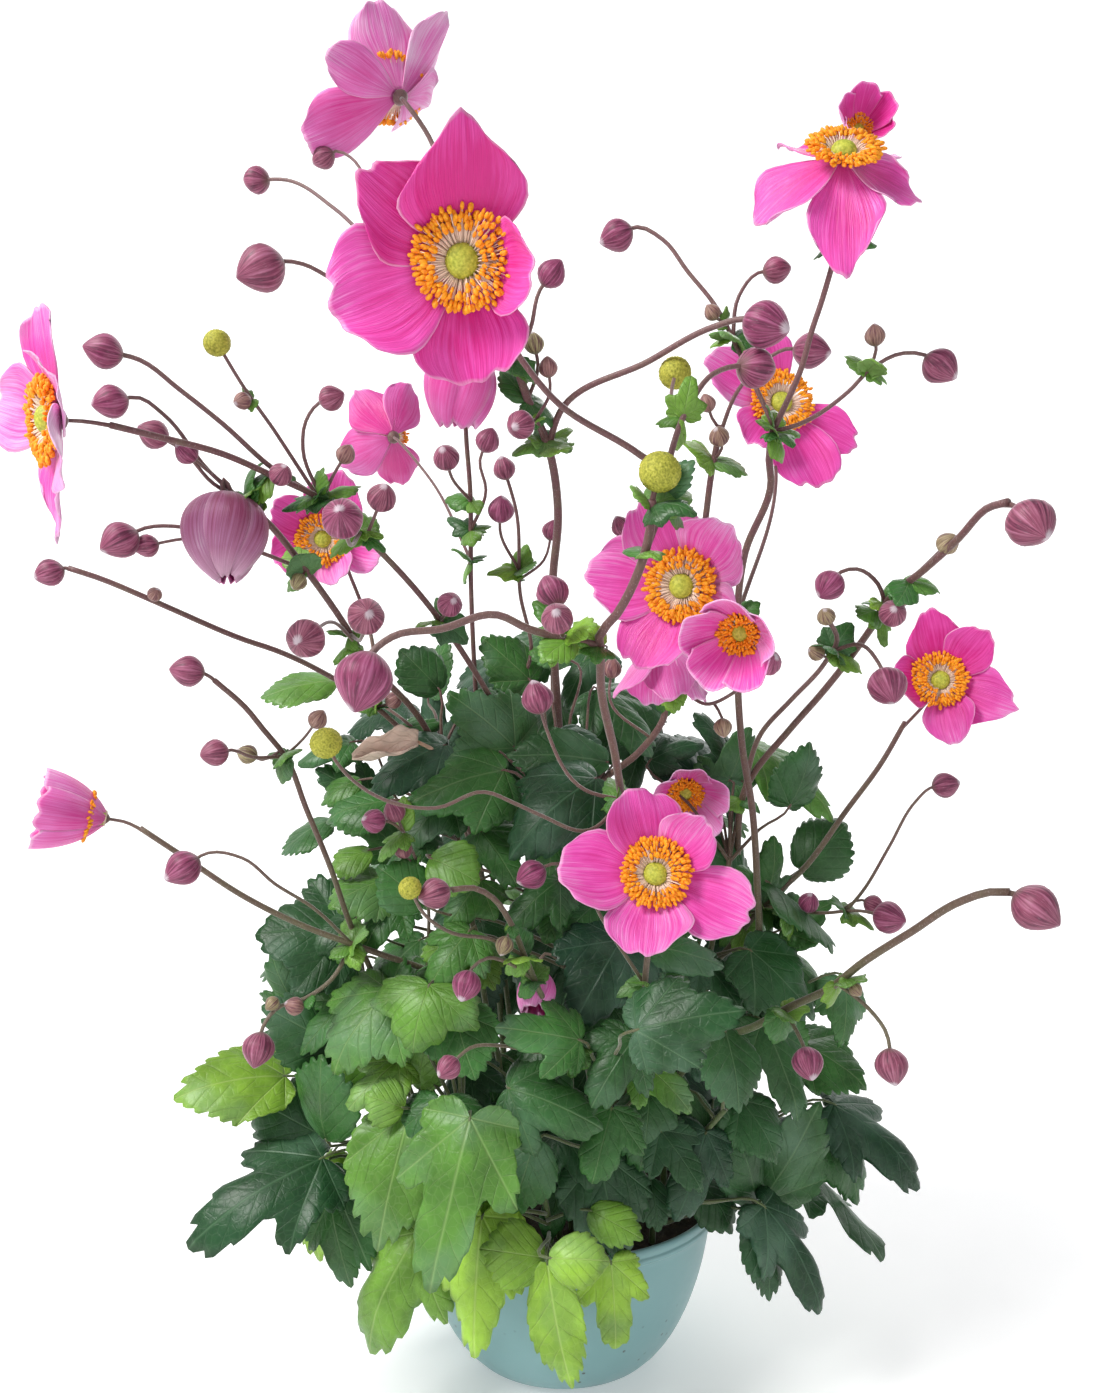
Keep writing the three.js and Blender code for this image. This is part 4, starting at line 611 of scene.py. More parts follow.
inset = POT["wall"] + GAP + 0.1
edge = wall_radius(SOIL["edge"]) - inset - 0.4
profile = [(0, 3.3), (wall_radius(3.3) - inset - 1.5, 3.3)]
profile += [(wall_radius(LIP * s) - inset - 1.2, LIP * s) for s in (0.3, 0.62)]
profile += [(edge * (1 - i / 30), soil_height(edge * (1 - i / 30))) for i in range(31)]
bm = spun(profile, SOIL["sides"])
bmesh.ops.remove_doubles(bm, verts=bm.verts, dist=1e-6)
bmesh.ops.recalc_face_normals(bm, faces=bm.faces)
clods = random.Random(5)
for v in bm.verts:
    if v.co.z > SOIL["rough_above"] * MM and v.co.xy.length < (edge - 1) * MM:
        v.co.z += clods.uniform(-0.9, 1.1) * MM
soil = finished("soil_bed", bm, [potting_soil], ["soil"])
print("soil:", len(soil.data.polygons), "faces")

# %% [markdown]
# Blooms. Each petal of an open bloom is a grid whose columns run from its foot to its edge: narrow
# at the foot, widest past its middle, with a rounded, slightly waved end. It rises from the disc
# behind the heart at its own lift, bends by its curl and overlaps its neighbour like a fan. A row
# gives the bloom's name, its form, whether its heart shows, the heart's picture place and depth,
# the petals' length in mm, the direction that it faces and how light it is, from 0 deep magenta to
# 1 pale mauve. The petals follow, each turn,length,width,lift,curl with length and width as
# shares, and a sixth number where it ends in a point.

# %% Rows of blooms
# The light of top_left is raised above its own colour to make up for the shade it stands in: painted light.
BLOOM_ROWS = """
large open heart 463,262,400 44 .05,-.95,-.28 .2
  90,1.06,.98,22,-6,.34 141,.98,.8,10,4,.16 202,1.06,1,10,0 277,.88,.9,9,0 350,.84,.68,34,40
nodding cup bare 463,346,478 36 -.1,.25,-.95 .3
  20,1,.8,36,40 110,1,.8,62,16 190,1,.8,66,16 280,1,.85,62,16
top_left open heart 399,96,500 38 -.42,.6,.68 .5
  70,1,.85,40,8 320,1.15,.68,0,6 11,.9,.5,-8,20 192,.62,.85,24,30 124,1.2,.5,34,0
top_right open heart 842,160,440 36 0,-.78,.62 .45
  198,1.02,.9,-22,-26 270,1.3,.78,-22,-20,.2 342,.9,.7,-18,-6,.24 50,.85,.7,-10,-10 120,.85,.7,-12,-10
cup_top cup heart 858,130,512 21 .06,-.99,.08 .35
  20,1,.95,44,26 92,1,.95,50,20 164,1,.95,50,20 236,1,.95,50,20 308,1,.95,50,20
far_left open heart 58,420,420 40 -.76,-.64,-.1 .72
  92,1,.6,6,-8 24,.66,.85,12,16 322,.9,.75,14,4 258,1.1,.75,4,-4,.3 160,.95,.8,12,8
turned_away open bare 393,437,640 35 -.3,.88,.3 .15
  50,1,.8,34,8,.2 112,.95,.7,28,8 325,1,.75,30,8 250,.95,.7,30,8
left_behind open heart 325,538,566 32 -.12,-.93,-.25 .45
  66,1.1,.9,14,6 138,.9,.7,30,8 205,.8,.75,24,8 288,.7,.8,24,6 350,.95,.85,12,6
middle open heart 684,587,448 36 -.35,-.93,.02 .5
  110,1,.85,14,4 172,1.04,.9,8,0 244,.95,.8,14,4 316,.85,.75,20,4 42,.95,.85,24,24
hanging open bare 662,642,492 34 .02,-.1,-.98 .5
  192,.9,.75,52,16 330,1,.75,42,10 80,.9,.8,50,16 262,1,.66,47,10
cup_middle cup heart 741,632,408 26 -.42,-.82,-.35 .6
  10,1,.95,38,30 82,1,.95,54,24 154,1,.9,50,24 226,1,.95,50,24 298,1,.95,54,24
right open heart 941,681,640 38 -.42,-.88,.12 .2
  100,1.05,.8,12,0,.2 46,.95,.7,18,6 338,1.1,.86,8,0,.2 286,.95,.75,14,0 190,.8,.8,32,40
cup_low cup heart 685,792,600 30 .02,-.94,-.3 .75
  90,1.05,1.05,34,32 162,1,.95,52,22 234,1,.9,48,22 306,1,.9,48,22 18,1,.95,56,22
front open heart 655,876,486 37 -.02,-.9,.38 .42
  178,1.08,.95,8,4 104,.98,.9,22,6 41,.94,.7,26,40 332,1.12,.84,12,0 262,.92,.95,12,0
cup_left cup heart 102,818,517 34 -.86,-.36,.2 .25
  0,1,.95,36,50 72,1,.95,56,24 144,1,.95,56,24 216,1,.95,56,24 288,1,.9,56,24
low cup bare 539,976,520 20 -.1,-.6,-.75 .5
  150,1,.95,56,20 240,1,.9,56,20 330,1,.9,56,20
right_behind open heart 779,405,610 42 .12,-.95,.1 .5
  152,1.08,.8,10,0 112,.9,.7,20,0 232,.8,.7,20,6 291,1.12,.8,8,0 330,1.05,.6,8,-6
opening cup bare 224,500,470 37 .08,-.2,-.97 .3
  20,1,.9,22,100 92,1,.9,40,66 164,1,.9,40,66 236,1,.95,40,66 308,1,.95,40,66
"""
BLOOMS = {}
for line in BLOOM_ROWS.strip().splitlines():
    if line[0] == " ":
        BLOOMS[name]["petals"] += map(numbers, line.split())
    else:
        name, form, heart, place, reach, facing, light = line.split()
        BLOOMS[name] = {
            "cup": form == "cup", "heart": heart == "heart", "place": seen(*numbers(place)),
            "reach": float(reach), "facing": numbers(facing), "light": float(light), "petals": []}
print("blooms:", len(BLOOMS), "petals:", sum(len(row["petals"]) for row in BLOOMS.values()))

# %% Petals of open blooms
PETAL_TILT = 0.24
PETAL_WALL = 0.45
HALF_WIDTH = [
    (0, 0.07), (0.1, 0.14), (0.26, 0.28), (0.42, 0.41), (0.58, 0.495), (0.7, 0.52), (0.84, 0.5),
    (0.93, 0.46), (1, 0.4)]


def bloom_axes(bloom):
    """x to the right and y up for someone who looks at the bloom's face, z its facing."""
    z = Vector(bloom["facing"]).normalized()
    reference = Vector((0, 1, 0)) if abs(z.z) > 0.97 else UP
    x = reference.cross(z).normalized()
    return x, z.cross(x), z


def petal_shape(bloom, row, point, chance):
    """The rule that bends a flat grid into one petal."""
    turn, length_share, width_share, lift, curl = row[:5]
    x, y, z = bloom_axes(bloom)
    reach = bloom["reach"] * MM
    angle, slope, bend = math.radians(turn), math.radians(lift + curl / 2), math.radians(curl)
    outward = x * math.cos(angle) + y * math.sin(angle)
    across = z.cross(outward)
    along = outward * math.cos(slope) + z * math.sin(slope)
    normal = along.cross(across)
    length, wide = reach * length_share, reach * width_share
    disc = 4.2 if bloom["reach"] > 30 else 3
    root = bloom["place"] + outward * 0.6 * disc * MM
    wave = [chance.uniform(0, ROUND) for _ in range(4)]
    notch = chance.uniform(-0.5, 0.5)
    ripple = chance.uniform(0.016, 0.03) * reach
    skew, blunt = chance.uniform(-0.06, 0.06), chance.uniform(0.1, 0.2)

    def shape(u, v):
        end = 1 - blunt * abs(u) ** 2.4 - point * abs(u) + skew * u
        end -= 0.045 * math.exp(-((u - notch) / 0.16) ** 2)
        share = v * (end + 0.014 * math.sin(11 * u + wave[0]) * v**4)
        over = u * between(HALF_WIDTH, v) * wide * (1 + 0.02 * math.sin(9 * v + wave[1]))
        tilt = PETAL_TILT * share
        side = across * math.cos(tilt) + normal * math.sin(tilt)
        face = along.cross(side)
        height = -length * bend * 0.5 * share * (1 - share) + (0.2 + 0.4 * share) * over * over / wide
        height += ripple * v**2 * abs(u) ** 1.5 * math.sin(8 * v + wave[2] + 2 * u)
        height += ripple * v**5 * math.sin(6.5 * u + wave[3])
        height += 0.3 * ripple * v**3 * math.sin(19 * u + wave[1]) * math.sin(7 * v + wave[0])
        height += 0.006 * reach * math.cos(5.2 * math.pi * u) * v * (1 - v)
        return root + along * share * length + side * over + face * height

    return shape


def petals_of(name, bloom):
    bm = new_piece()
    chance = random.Random(name)
    for row in bloom["petals"]:
        point = chance.uniform(0, 0.09)
        shape = petal_shape(bloom, row, row[5] if len(row) > 5 else point, chance)
        steep = abs(math.radians(row[3] + row[4] / 2)) >= 1.2
        light = bloom["light"] + chance.uniform(-0.24, 0.2)
        petal = new_piece()
        sheet(petal, 18, 20, shape, light, None if steep else bloom_axes(bloom)[2])
        gather(bm, petal)
    return finished(
        f"corolla_{name}", bm, [petal_face, petal_back], [f"petals_{name}"], PETAL_WALL)


# %% [markdown]
# Cupped blooms and half-open buds: five petals stand in a ring and meet at their edges. Here the
# grid's columns are spread round the axis, and one edge of each petal lies outside its neighbour.

# %% Petals of cupped blooms
CLOSED = {"opening": [5, 165], "low": [34, 92], "nodding": [24, 116]}
CUP_FOOT = 3.8


def cup_shape(name, bloom, turned, chance):
    """The rule for one petal of a cup, from the turn of its middle in degrees."""
    x, y, z = bloom_axes(bloom)
    origin = bloom["place"] - z * CUP_FOOT * MM
    lift, bend = [math.radians(a) for a in CLOSED.get(name, bloom["petals"][0][3:5])]
    wave = [chance.uniform(0, ROUND) for _ in range(3)]
    small = min(1.0, bloom["reach"] / 30)
    twist, full = (26, 1.22) if name in CLOSED else (0, 1)

    def shape(u, v):
        around = 43 * u * (0.55 + 0.45 * min(1, v / 0.3))
        turn = math.radians(turned + around + twist * v * v)
        seam = min(1.0, abs(around) / 36) ** 3
        level = v * (1 - 0.03 * math.exp(-(u / 0.2) ** 2))
        long = bloom["reach"] * level * (1 - 0.12 * level * seam)
        slope = lift + bend * level * 0.5
        out = (1.6 + full * long * math.cos(slope)) * (1 - 0.08 * seam)
        out += u * 0.9 * small * level + 0.5 * small * v**3 * math.sin(7 * u + wave[0])
        tall = 1.6 + long * math.sin(slope) * (1 - 0.1 * (1 - level))
        tall += 0.6 * small * v**4 * math.sin(9 * u + wave[1])
        return origin + (x * out * math.cos(turn) + y * out * math.sin(turn) + z * tall) * MM

    return shape


def cup_of(name, bloom):
    bm = new_piece()
    chance = random.Random(name)
    x, y, z = bloom_axes(bloom)
    for number in range(5):
        light = bloom["light"] + chance.uniform(-0.12, 0.12)
        turned = bloom["petals"][0][0] + 72 * number
        petal = new_piece()
        faces = sheet(petal, 16, 18, cup_shape(name, bloom, turned, chance), light)
        outward = x * math.cos(math.radians(turned)) + y * math.sin(math.radians(turned))
        outer = max(faces, key=lambda f: f.calc_center_median().dot(outward))
        turn_faces(petal, faces, outer, -outward)
        gather(bm, petal)
    outside = petal_closed if name == "opening" else petal_back
    return finished(
        f"corolla_{name}", bm, [petal_face, outside], [f"petals_{name}"], PETAL_WALL)


corollas = [(cup_of if bloom["cup"] else petals_of)(name, bloom) for name, bloom in BLOOMS.items()]
print("corollas:", len(corollas), "faces:", sum(len(p.data.polygons) for p in corollas))

# %% [markdown]
# The heart of a bloom is a dome of tiny carpels in rings of stamens. The dome is a sphere whose
# points are pushed out round evenly spread centres. Each stamen is a thin curved tube with a long
# anther, a stretched ball, at its end; it rises above the petal that is behind it.

# %% Hearts
GOLDEN_TURN = 2.39996
EYE_SHARE = 0.135
# Rings of stamens: their reach as a share of the petals', their number and how steep they stand.
RINGS = [(0.235, 30, 1.24), (0.275, 42, 1.05), (0.315, 52, 0.9), (0.35, 56, 0.75), (0.375, 34, 0.66)]


def bumpy_ball(bm, centre, axes, radius, flat, count, depth, columns, rows):
    """A ball of small fruits: its points stand out round evenly spread centres."""
    x, y, z = axes
    tree = kdtree.KDTree(count)
    for i in range(count):
        level = 1 - 2 * (i + 0.5) / count
        turn, out = i * GOLDEN_TURN, math.sqrt(max(0, 1 - level * level))
        tree.insert(Vector((out * math.cos(turn), out * math.sin(turn), level)), i)
    tree.balance()
    reach = math.sqrt(4 / count)

    def shape(co):
        apart = tree.find(co.normalized())[2]
        far = radius * (1 + depth * (1 - min(1.0, apart / reach) ** 2) - depth / 2)
        return centre + (x * co.x + y * co.y) * far + z * co.z * far * flat

    ball(bm, columns, rows, shape)


def stamen_slope(bloom, turn, steep, chance):
    """The slope in radians that keeps a stamen above the petals behind it."""
    lift = 20
    for row in bloom["petals"]:
        apart = abs((turn - row[0] + 540) % 360 - 180)
        if apart < 75:
            lift = max(lift, row[3] + 0.3 * row[4])
    least = {(1, 1): 56, (1, 0): 76, (0, 0): 64, (0, 1): 0}[bloom["cup"], bloom["heart"]]
    slope = max(math.radians(min(lift + 9, 48)), math.radians(least))
    slope = min(slope * (0.35 + 0.65 * steep) + 0.3 * max(0, steep - 0.66), 1.45)
    return slope + chance.uniform(-0.06, 0.06)


def heart_of(name, bloom):
    bm = new_piece()
    chance = random.Random("heart" + name)
    x, y, z = bloom_axes(bloom)
    reach, cup = bloom["reach"], bloom["cup"]
    origin = bloom["place"] + z * (-1.6 if cup else 0.7) * MM
    eye = EYE_SHARE * reach
    bumpy_ball(bm, origin + z * 0.6 * eye * MM, (x, y, z), eye * MM, 0.76, 210, 0.06, 40, 26)
    for far, count, steep in RINGS:
        count = round(count * min(1, reach / 36))
        if cup and not bloom["heart"]:
            count //= 3
        for i in range(count):
            turn = 360 * (i + chance.uniform(-0.35, 0.35)) / count + 97 * far
            slope = stamen_slope(bloom, turn, steep, chance)
            length = far * reach * chance.uniform(0.92, 1.06)
            if not cup and bloom["heart"]:
                length /= math.cos(min(slope, 0.8)) ** 0.8
            angle = math.radians(turn)
            outward = x * math.cos(angle) + y * math.sin(angle)
            start = origin + outward * 0.62 * eye * MM
            run = max(2.0, length - 0.62 * eye)
            line = []
            for k in range(4):
                share = k / 3
                out = run * share * math.cos(slope)
                rise = run * share * math.sin(slope) + 0.14 * run * math.sin(math.pi * share)
                line.append(start + (outward * out + z * rise) * MM)
            tube(bm, line, (0.5 * MM, 0.18 * MM), 3, (0.5, 0.5))
            tip, ahead = line[-1], (line[-1] - line[-2]).normalized()
            roll = chance.uniform(0, 3.14)
            ax, ay = axes_along((ahead + outward * chance.uniform(-0.6, 0.9)).normalized(), roll)
            az = ax.cross(ay)
            size = chance.uniform(1.1, 1.5) * MM * min(1, reach / 38)

            def anther(co, tip=tip, ax=ax, ay=ay, az=az, size=size):
                return tip + (ax * co.x * 0.8 + ay * co.y * 0.58 + az * (co.z * 1.2 + 0.3)) * size

            ball(bm, 6, 4, anther, 1.0)
    nodes = [f"heart_{name}"] if bloom["heart"] else []
    return finished(f"stamens_{name}", bm, [heart_parts], nodes)


hearts = [heart_of(name, bloom) for name, bloom in BLOOMS.items() if name != "opening"]
print("hearts:", len(hearts), "faces:", sum(len(p.data.polygons) for p in hearts))

# %% [markdown]
# Flower stalks. A stalk is a line of places from its hole in the soil to its top, and each twig
# starts on an earlier line of its stalk. The plain solids of the twigs were moved along the line
# of sight until they stood clear of each other; here the same shift is found by comparing each
# one with the corners of the plain solid, so that the fine twig stands where the plain one does.
# A row gives a stalk's name, its hole and its radius in mm, then the places of its stem. Each twig
# below it has its radius, the depth of its far end, what is on that end, with the width of a bud
# or seed head as seen, and its places. A twig with no depth has no plain solid.

# %% Rows of stalks
STALK_ROWS = """
left_tall -30,2 1.7
  stem 455,790,592 420,719,570 361,652,540 348,630,532 306,570,510 271,526,492 235,494,474
  1.1 470 bloom:opening 243,498 231,492 224,496
  .9 462 bud:24 243,500 212,474 194,459 186,452
  1 452 bud:34 258,514 208,470 163,414 140,398 110,402
  .9 455 bud:30 243,500 214,484 180,448 153,434
  1 478 bud:38 306,570 240,545 182,527 145,528 119,541
  .8 484 bud:24 215,538 175,540 146,546
  .9 470 bud:38 351,634 358,640 366,616
  .9 466 bud:40 356,642 332,622 305,639
  .7 - bud:18 306,570 298,582
left_bloom -16,8 1.5
  stem 515,745,590 480,680,562 440,620,538 400,572,516 360,532,502 322,500,488 271,475,470 223,454,456
  stem 159,437,440 110,425,428
  .9 421 bloom:far_left 115,426 80,423
  1.2 448 bud:36 316,497 271,467 223,424 179,389 140,360 103,351
  .9 460 seed:27 318,498 293,459 274,430 245,389 217,343
  .9 474 bud:26 322,500 303,449 306,421 319,403 332,398
  .9 464 bud:24 271,475 276,481 281,474
  1 448 bud:42 360,532 352,545 342,518
  .9 488 bud:30 366,538 374,518 382,497
  .9 520 bud:26 440,620 444,616 450,604
  .7 - bud:18 250,400 242,401
  .8 - bud:20 322,500 334,474 346,454
left_low -44,8 1.4
  stem 430,762,590 372,704,566 324,673,546 275,650,528 245,640,520 172,609,500 147,598,494 96,577,486
  stem 68,568,482
  .9 480 bud:28 80,572 65,568 49,573
  1.1 575 bloom:left_behind 376,706 372,640 352,580 334,552
  .7 - bud:15 150,600 155,594
  .7 - bud:18 376,707 388,704 394,700
left_mid -52,-18 1.4
  stem 378,985,562 349,921,545 331,869,535 306,808,522 285,756,512 263,729,505 245,707,500 214,680,493
  .9 490 bud:32 223,687 203,673 187,671
  .9 490 bud:28 285,756 252,757 232,750 214,753
  .7 - bud:20 279,752 262,760 247,754
  .7 - bud:20 285,756 304,738 318,719
left_cup -36,-32 1.5
  stem 470,1000,560 428,971,552 383,955,546 352,944,541 306,927,536 245,897,530 184,857,524 140,828,520
  .9 519 bloom:cup_left 150,834 124,818
  .9 508 bud:36 352,944 312,907 275,884 242,858 208,853 182,869
  1.1 520 bud:33 352,944 331,980 306,998 275,1010 263,1027 258,1050
  .9 530 bud:23 428,971 424,880 412,850 400,824 394,811
  .8 520 bud:25 404,832 390,822 373,821
  .7 - bud:19 310,995 302,1008 294,1006
  .7 - bud:15 282,1008 276,1000 272,1004
  .7 - bud:19 418,864 406,858 403,849
centre_front 6,-26 1.9
  stem 640,900,556 622,800,500 615,755,476 601,688,446 600,648,428 599,637,425 617,614,420 636,578,414
  stem 650,530,408 652,500,404
  1.1 401 seed:42 652,505 655,488 660,472
  1.6 402 bud:60 600,646 564,638 529,629 498,615 441,629 392,637 372,653 363,682
  1.4 420 bloom:large 644,552 662,505 668,478 640,455 560,405 500,372
  1.3 452 bud:41 664,500 672,450 693,399 713,374 736,366 757,368
  .9 470 seed:32 684,418 672,400 675,373
  .9 410 bud:33 564,638 560,630 557,618
  .9 432 bud:34 574,640 562,612 552,591
  .9 466 seed:32 622,800 590,830 540,815 514,803 485,792 436,808 376,796 335,760 326,743
  .9 496 bud:33 622,800 585,790 545,725 537,697
centre_right 14,-10 1.7
  stem 606,900,585 597,786,548 639,752,536 663,720,528 671,680,522 690,610,530 704,530,530 712,470,524
  stem 721,425,518
  1 500 bud:36 718,440 739,389 761,364 786,349 812,351
  .8 512 bud:21 714,460 722,448 719,436
  1.1 452 bloom:middle 672,676 700,650 698,605
  1 412 bloom:cup_middle 672,676 716,680 752,640
  1 492 bloom:hanging 676,660 664,634
  .9 508 bud:23 671,682 664,690 659,681
  .9 440 bud:27 672,676 706,704 738,690 769,662
  .8 526 bud:21 700,548 660,540 628,538 621,526
  .8 - bud:18 720,430 712,418 707,403
  .7 - bud:19 714,703 722,718 723,728
  .8 - bud:20 650,738 610,700 612,668
right_tall 28,0 1.8
  stem 758,950,600 757,882,585 752,807,566 742,745,550 738,690,540 745,553,512 771,480,488 769,460,482
  stem 774,427,474
  1.3 446 bloom:top_right 774,430 802,366 812,330 823,297 840,215 843,180
  .9 512 bloom:cup_top 836,240 856,205 858,165
  1 466 bud:36 774,432 797,425 848,392 871,369 904,353 925,355 941,367
  .8 466 bud:21 868,372 876,350 875,335
  1.1 488 bud:33 774,427 741,356 714,304 688,272 662,239 637,227 616,236
  .9 478 bud:27 733,338 739,296 758,273 777,270
  1.1 622 bloom:right_behind 741,620 776,480 788,425
  .7 - bud:17 726,322 716,318 712,312
right_high 40,12 1.8
  stem 735,880,612 745,790,590 791,728,560 821,694,545 855,651,526 876,621,512 890,598,500 925,569,480
  stem 959,538,460 986,509,445 1008,502,432
  1.2 421 bud:50 996,505 1012,505 1032,524
  .9 468 bud:23 910,582 936,555 948,543
  1 492 bud:31 886,605 878,584 857,569 841,572 829,586
  .9 492 bud:28 880,614 890,618 893,613
  1.4 506 bud:19 745,800 762,732 791,700 824,664 837,640 826,616
  1 492 bud:40 832,650 862,645 878,662 888,687
  .7 - bud:15 893,596 902,600
  .7 - bud:18 828,658 816,652
right_bloom 54,4 1.7
  stem 690,990,606 728,949,606 760,909,610 806,866,618 846,811,626 882,762,634 905,722,640
  1 648 bloom:right 900,730 925,704 944,692
  1 560 bud:33 764,906 821,913 861,911 890,918
  .9 590 bud:21 790,911 804,916 809,902
  .9 566 bud:26 846,912 862,892 889,847 916,801 930,788 946,785
  1.1 604 bloom:cup_low 745,928 712,880 694,815
  .8 - bud:20 840,912 862,900 874,905
right_low 36,-34 1.8
  stem 716,1040,548 753,1027,530 792,1006,512 832,987,496 858,966,486 911,932,466 964,900,448 990,892,442
  stem 1010,892,438
  1.3 434 bud:48 1000,891 1018,895 1037,909
  1 498 bud:32 784,1010 796,1030 803,1045 808,1064
  1 482 bud:34 838,984 869,1009 885,1030 892,1067
  .7 - bud:14 846,978 856,990
front_low -2,-44 1.4
  stem 590,1090,552 576,1043,520 544,1000,508 527,962,500 509,920,492 493,898,486 474,888,482 452,890,478
  .9 474 bud:32 464,888 448,889 434,894
  .9 470 seed:23 524,956 490,939 452,933 424,914 410,888
  .9 486 bud:30 535,980 506,962 488,958 472,968 466,986
  .9 484 bud:25 574,1044 540,1052 503,1046 470,1048 448,1068
  1.7 494 bloom:front 598,1130 650,1060 645,985 650,935 656,890
  .9 500 bud:30 645,985 600,915 575,868 552,864 531,875
  .9 526 bloom:low 648,1020 590,985 548,962
  .7 - bud:19 512,926 504,946
centre_tall -6,-6 2.1
  stem 560,760,600 553,577,540 558,510,520 546,440,500 528,400,490 512,355,478 490,320,470
  1.5 438 bud:48 548,447 560,412 649,361 713,327 744,319 767,325
  1 470 bud:29 514,360 530,330 540,290 552,273
  .9 486 bud:21 528,400 538,366 534,343
  1.3 500 bloom:top_left 490,320 450,230 425,130 408,108
  1 440 bud:48 494,324 400,300 333,279 303,264 282,261 260,269
  1 520 bud:27 470,272 376,245 335,209 287,180 256,180
  .8 505 bud:23 420,258 367,180 350,157 336,151 323,158
  .9 476 bud:29 546,440 534,420 520,425
  .8 - bud:20 536,420 550,392 548,367
centre_thin -22,-12 1.3
  stem 478,730,602 471,586,575 470,487,555 466,434,545 466,390,520
  .9 482 bloom:nodding 466,392 468,344
  .9 636 bloom:turned_away 471,560 430,479 402,446
  .9 530 bud:27 470,500 452,478 446,457
  .9 540 bud:25 471,530 486,490 480,460 488,440
  1.1 566 bud:23 478,720 530,660 520,592 516,510 504,468
  .9 560 bud:27 518,570 500,530 501,509
  .8 - bud:20 519,580 544,560 552,530
"""
STALKS = {}
for line in STALK_ROWS.strip().splitlines():
    first, *words = line.split()
    if line[0] != " ":
        row = STALKS[first] = {"hole": numbers(words[0]), "r": float(words[1]), "stem": [], "twigs": []}
    elif first == "stem":
        row["stem"] += map(numbers, words)
    else:
        depth, end, *at = words
        kind, what = end.split(":")
        twig = {"r": float(first), "at": [numbers(place) for place in at]}
        twig[kind] = what if kind == "bloom" else float(what)
        if depth != "-":
            twig["depth"] = float(depth)
        row["twigs"].append(twig)
print("twigs:", sum(len(row["twigs"]) for row in STALKS.values()))

# %% Lines of stalks and twigs
SHIFTS = [0, 6, -6, 12, -12, 18, -18, 24, -24, 32, -32, 40, -40]
STRAIGHT = 2.2 * MM


def corners_of(node):
    """A search tree of the corners of a plain solid."""
    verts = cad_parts[node].data.vertices
    tree = kdtree.KDTree(len(verts))
    for i, v in enumerate(verts):
        tree.insert(v.co, i)
    tree.balance()
    return tree


def foot_of(hole, clear):
    """The foot of a stem in its hole, and the place where it is clear of the soil by some mm."""
    level = soil_height(math.hypot(*hole))
    return Vector((*hole, level - SOIL["depth"] + GAP)) * MM, Vector((*hole, level + clear)) * MM


def thinned(points, distance):
    """The points without those that lie within a distance of the straight line past them."""
    start, end = points[0], points[-1]
    chord = end - start
    far, index = 0, 0
    for i in range(1, len(points) - 1):
        share = max(0.0, min(1.0, (points[i] - start).dot(chord) / max(chord.length_squared, 1e-12)))
        apart = (points[i] - start - chord * share).length
        if apart > far:
            far, index = apart, i
    if far < distance:
        return [start, end]
    return thinned(points[:index + 1], distance) + thinned(points[index:], distance)[1:]


def nearest_on(lines, place):
    """The point on some lines that is seen nearest to a picture place."""
    best, found = None, None
    for points in lines:
        for a, b in zip(points, points[1:]):
            for part in range(11):
                point = a.lerp(b, part / 10)
                apart = math.dist(picture(point), place)
                if best is None or apart < best - 1e-6:
                    best, found = apart, point
    return found


def twig_line(twig, root, shift):
    """The places of a twig from its root, with its depth running evenly to its far end."""
    run = [0.0]
    for start, end in zip(twig["at"], twig["at"][1:]):
        run.append(run[-1] + math.dist(start, end))
    near = depth_of(root)
    far = twig["depth"] + shift if "depth" in twig else near - 3
    points = [seen(*place, near + (far - near) * d / run[-1]) for place, d in zip(twig["at"], run)]
    points[0] = root
    if "bloom" in twig:
        bloom = BLOOMS[twig["bloom"]]
        z = bloom_axes(bloom)[2]
        points[-1:] = [bloom["place"] - z * 9 * MM, bloom["place"] - z * 3.35 * MM]
    return points


def plain_line(points):
    """The line of the plain solid: thinned, with a point near its root."""
    root, *rest = [points[0]] + thinned(points, STRAIGHT)[1:]
    if (root - rest[0]).length < 12 * MM:
        return [root] + rest
    return [root, root + (rest[0] - root).normalized() * 3 * MM] + rest


def shift_of(twig, root, corners):
    """The shift along the line of sight at which the plain twig stands."""
    best, chosen = None, 0
    for shift in SHIFTS:
        line = plain_line(twig_line(twig, root, shift))
        places = line[2:-1] if len(line) > 3 else line[1:-1]
        way = (line[-1] - line[-2]).normalized()
        width = end_width(twig, twig["depth"] + shift)
        places = places + [line[-1] + way * width * (0.54 if "bud" in twig else 0.5)]
        cost = sum(corners.find(place)[2] for place in places) / len(places)
        if best is None or cost < best - 1e-7:
            best, chosen = cost, shift
    return chosen


def end_width(twig, depth):
    """The width of a twig's bud or seed head in metres, from its width as seen."""
    return (twig.get("bud") or twig.get("seed") or 0) / VIEW["focal"] * depth * MM


# %% Buds and seed heads
def bud_on(bm, end, way, width, chance):
    """A bud: a ball drawn out to a point, wrapped by five overlapping leaves."""
    x, y = axes_along(way, chance.uniform(0, ROUND))
    length = 1.08 * width
    start = end - way * length * 0.5
    blunt = chance.uniform(0.0, 0.08)
    taper = 0.34 if width > 14 * MM else 0.2 + blunt

    def shape(co):
        t = (1 + co.z) / 2
        full = math.sin(math.pi * min(1.0, t) ** 0.9) ** 0.62 * (1 - taper * t**4)
        turn = math.atan2(co.y, co.x) if co.xy.length > 1e-6 else 0.0
        wrap = ((turn / (2 * math.pi)) * 5 + 0.7 * t) % 1
        out = width / 2 * full * (1 + 0.05 * (wrap - 0.5) * math.sin(math.pi * t))
        return start + way * length * t + (x * math.cos(turn) + y * math.sin(turn)) * out

    columns = 30 if width > 12 * MM else 20
    green = chance.uniform(0.25, 0.85) if width < 9.5 * MM else chance.uniform(0, 0.12)
    ball(bm, columns, columns // 2, shape, green)


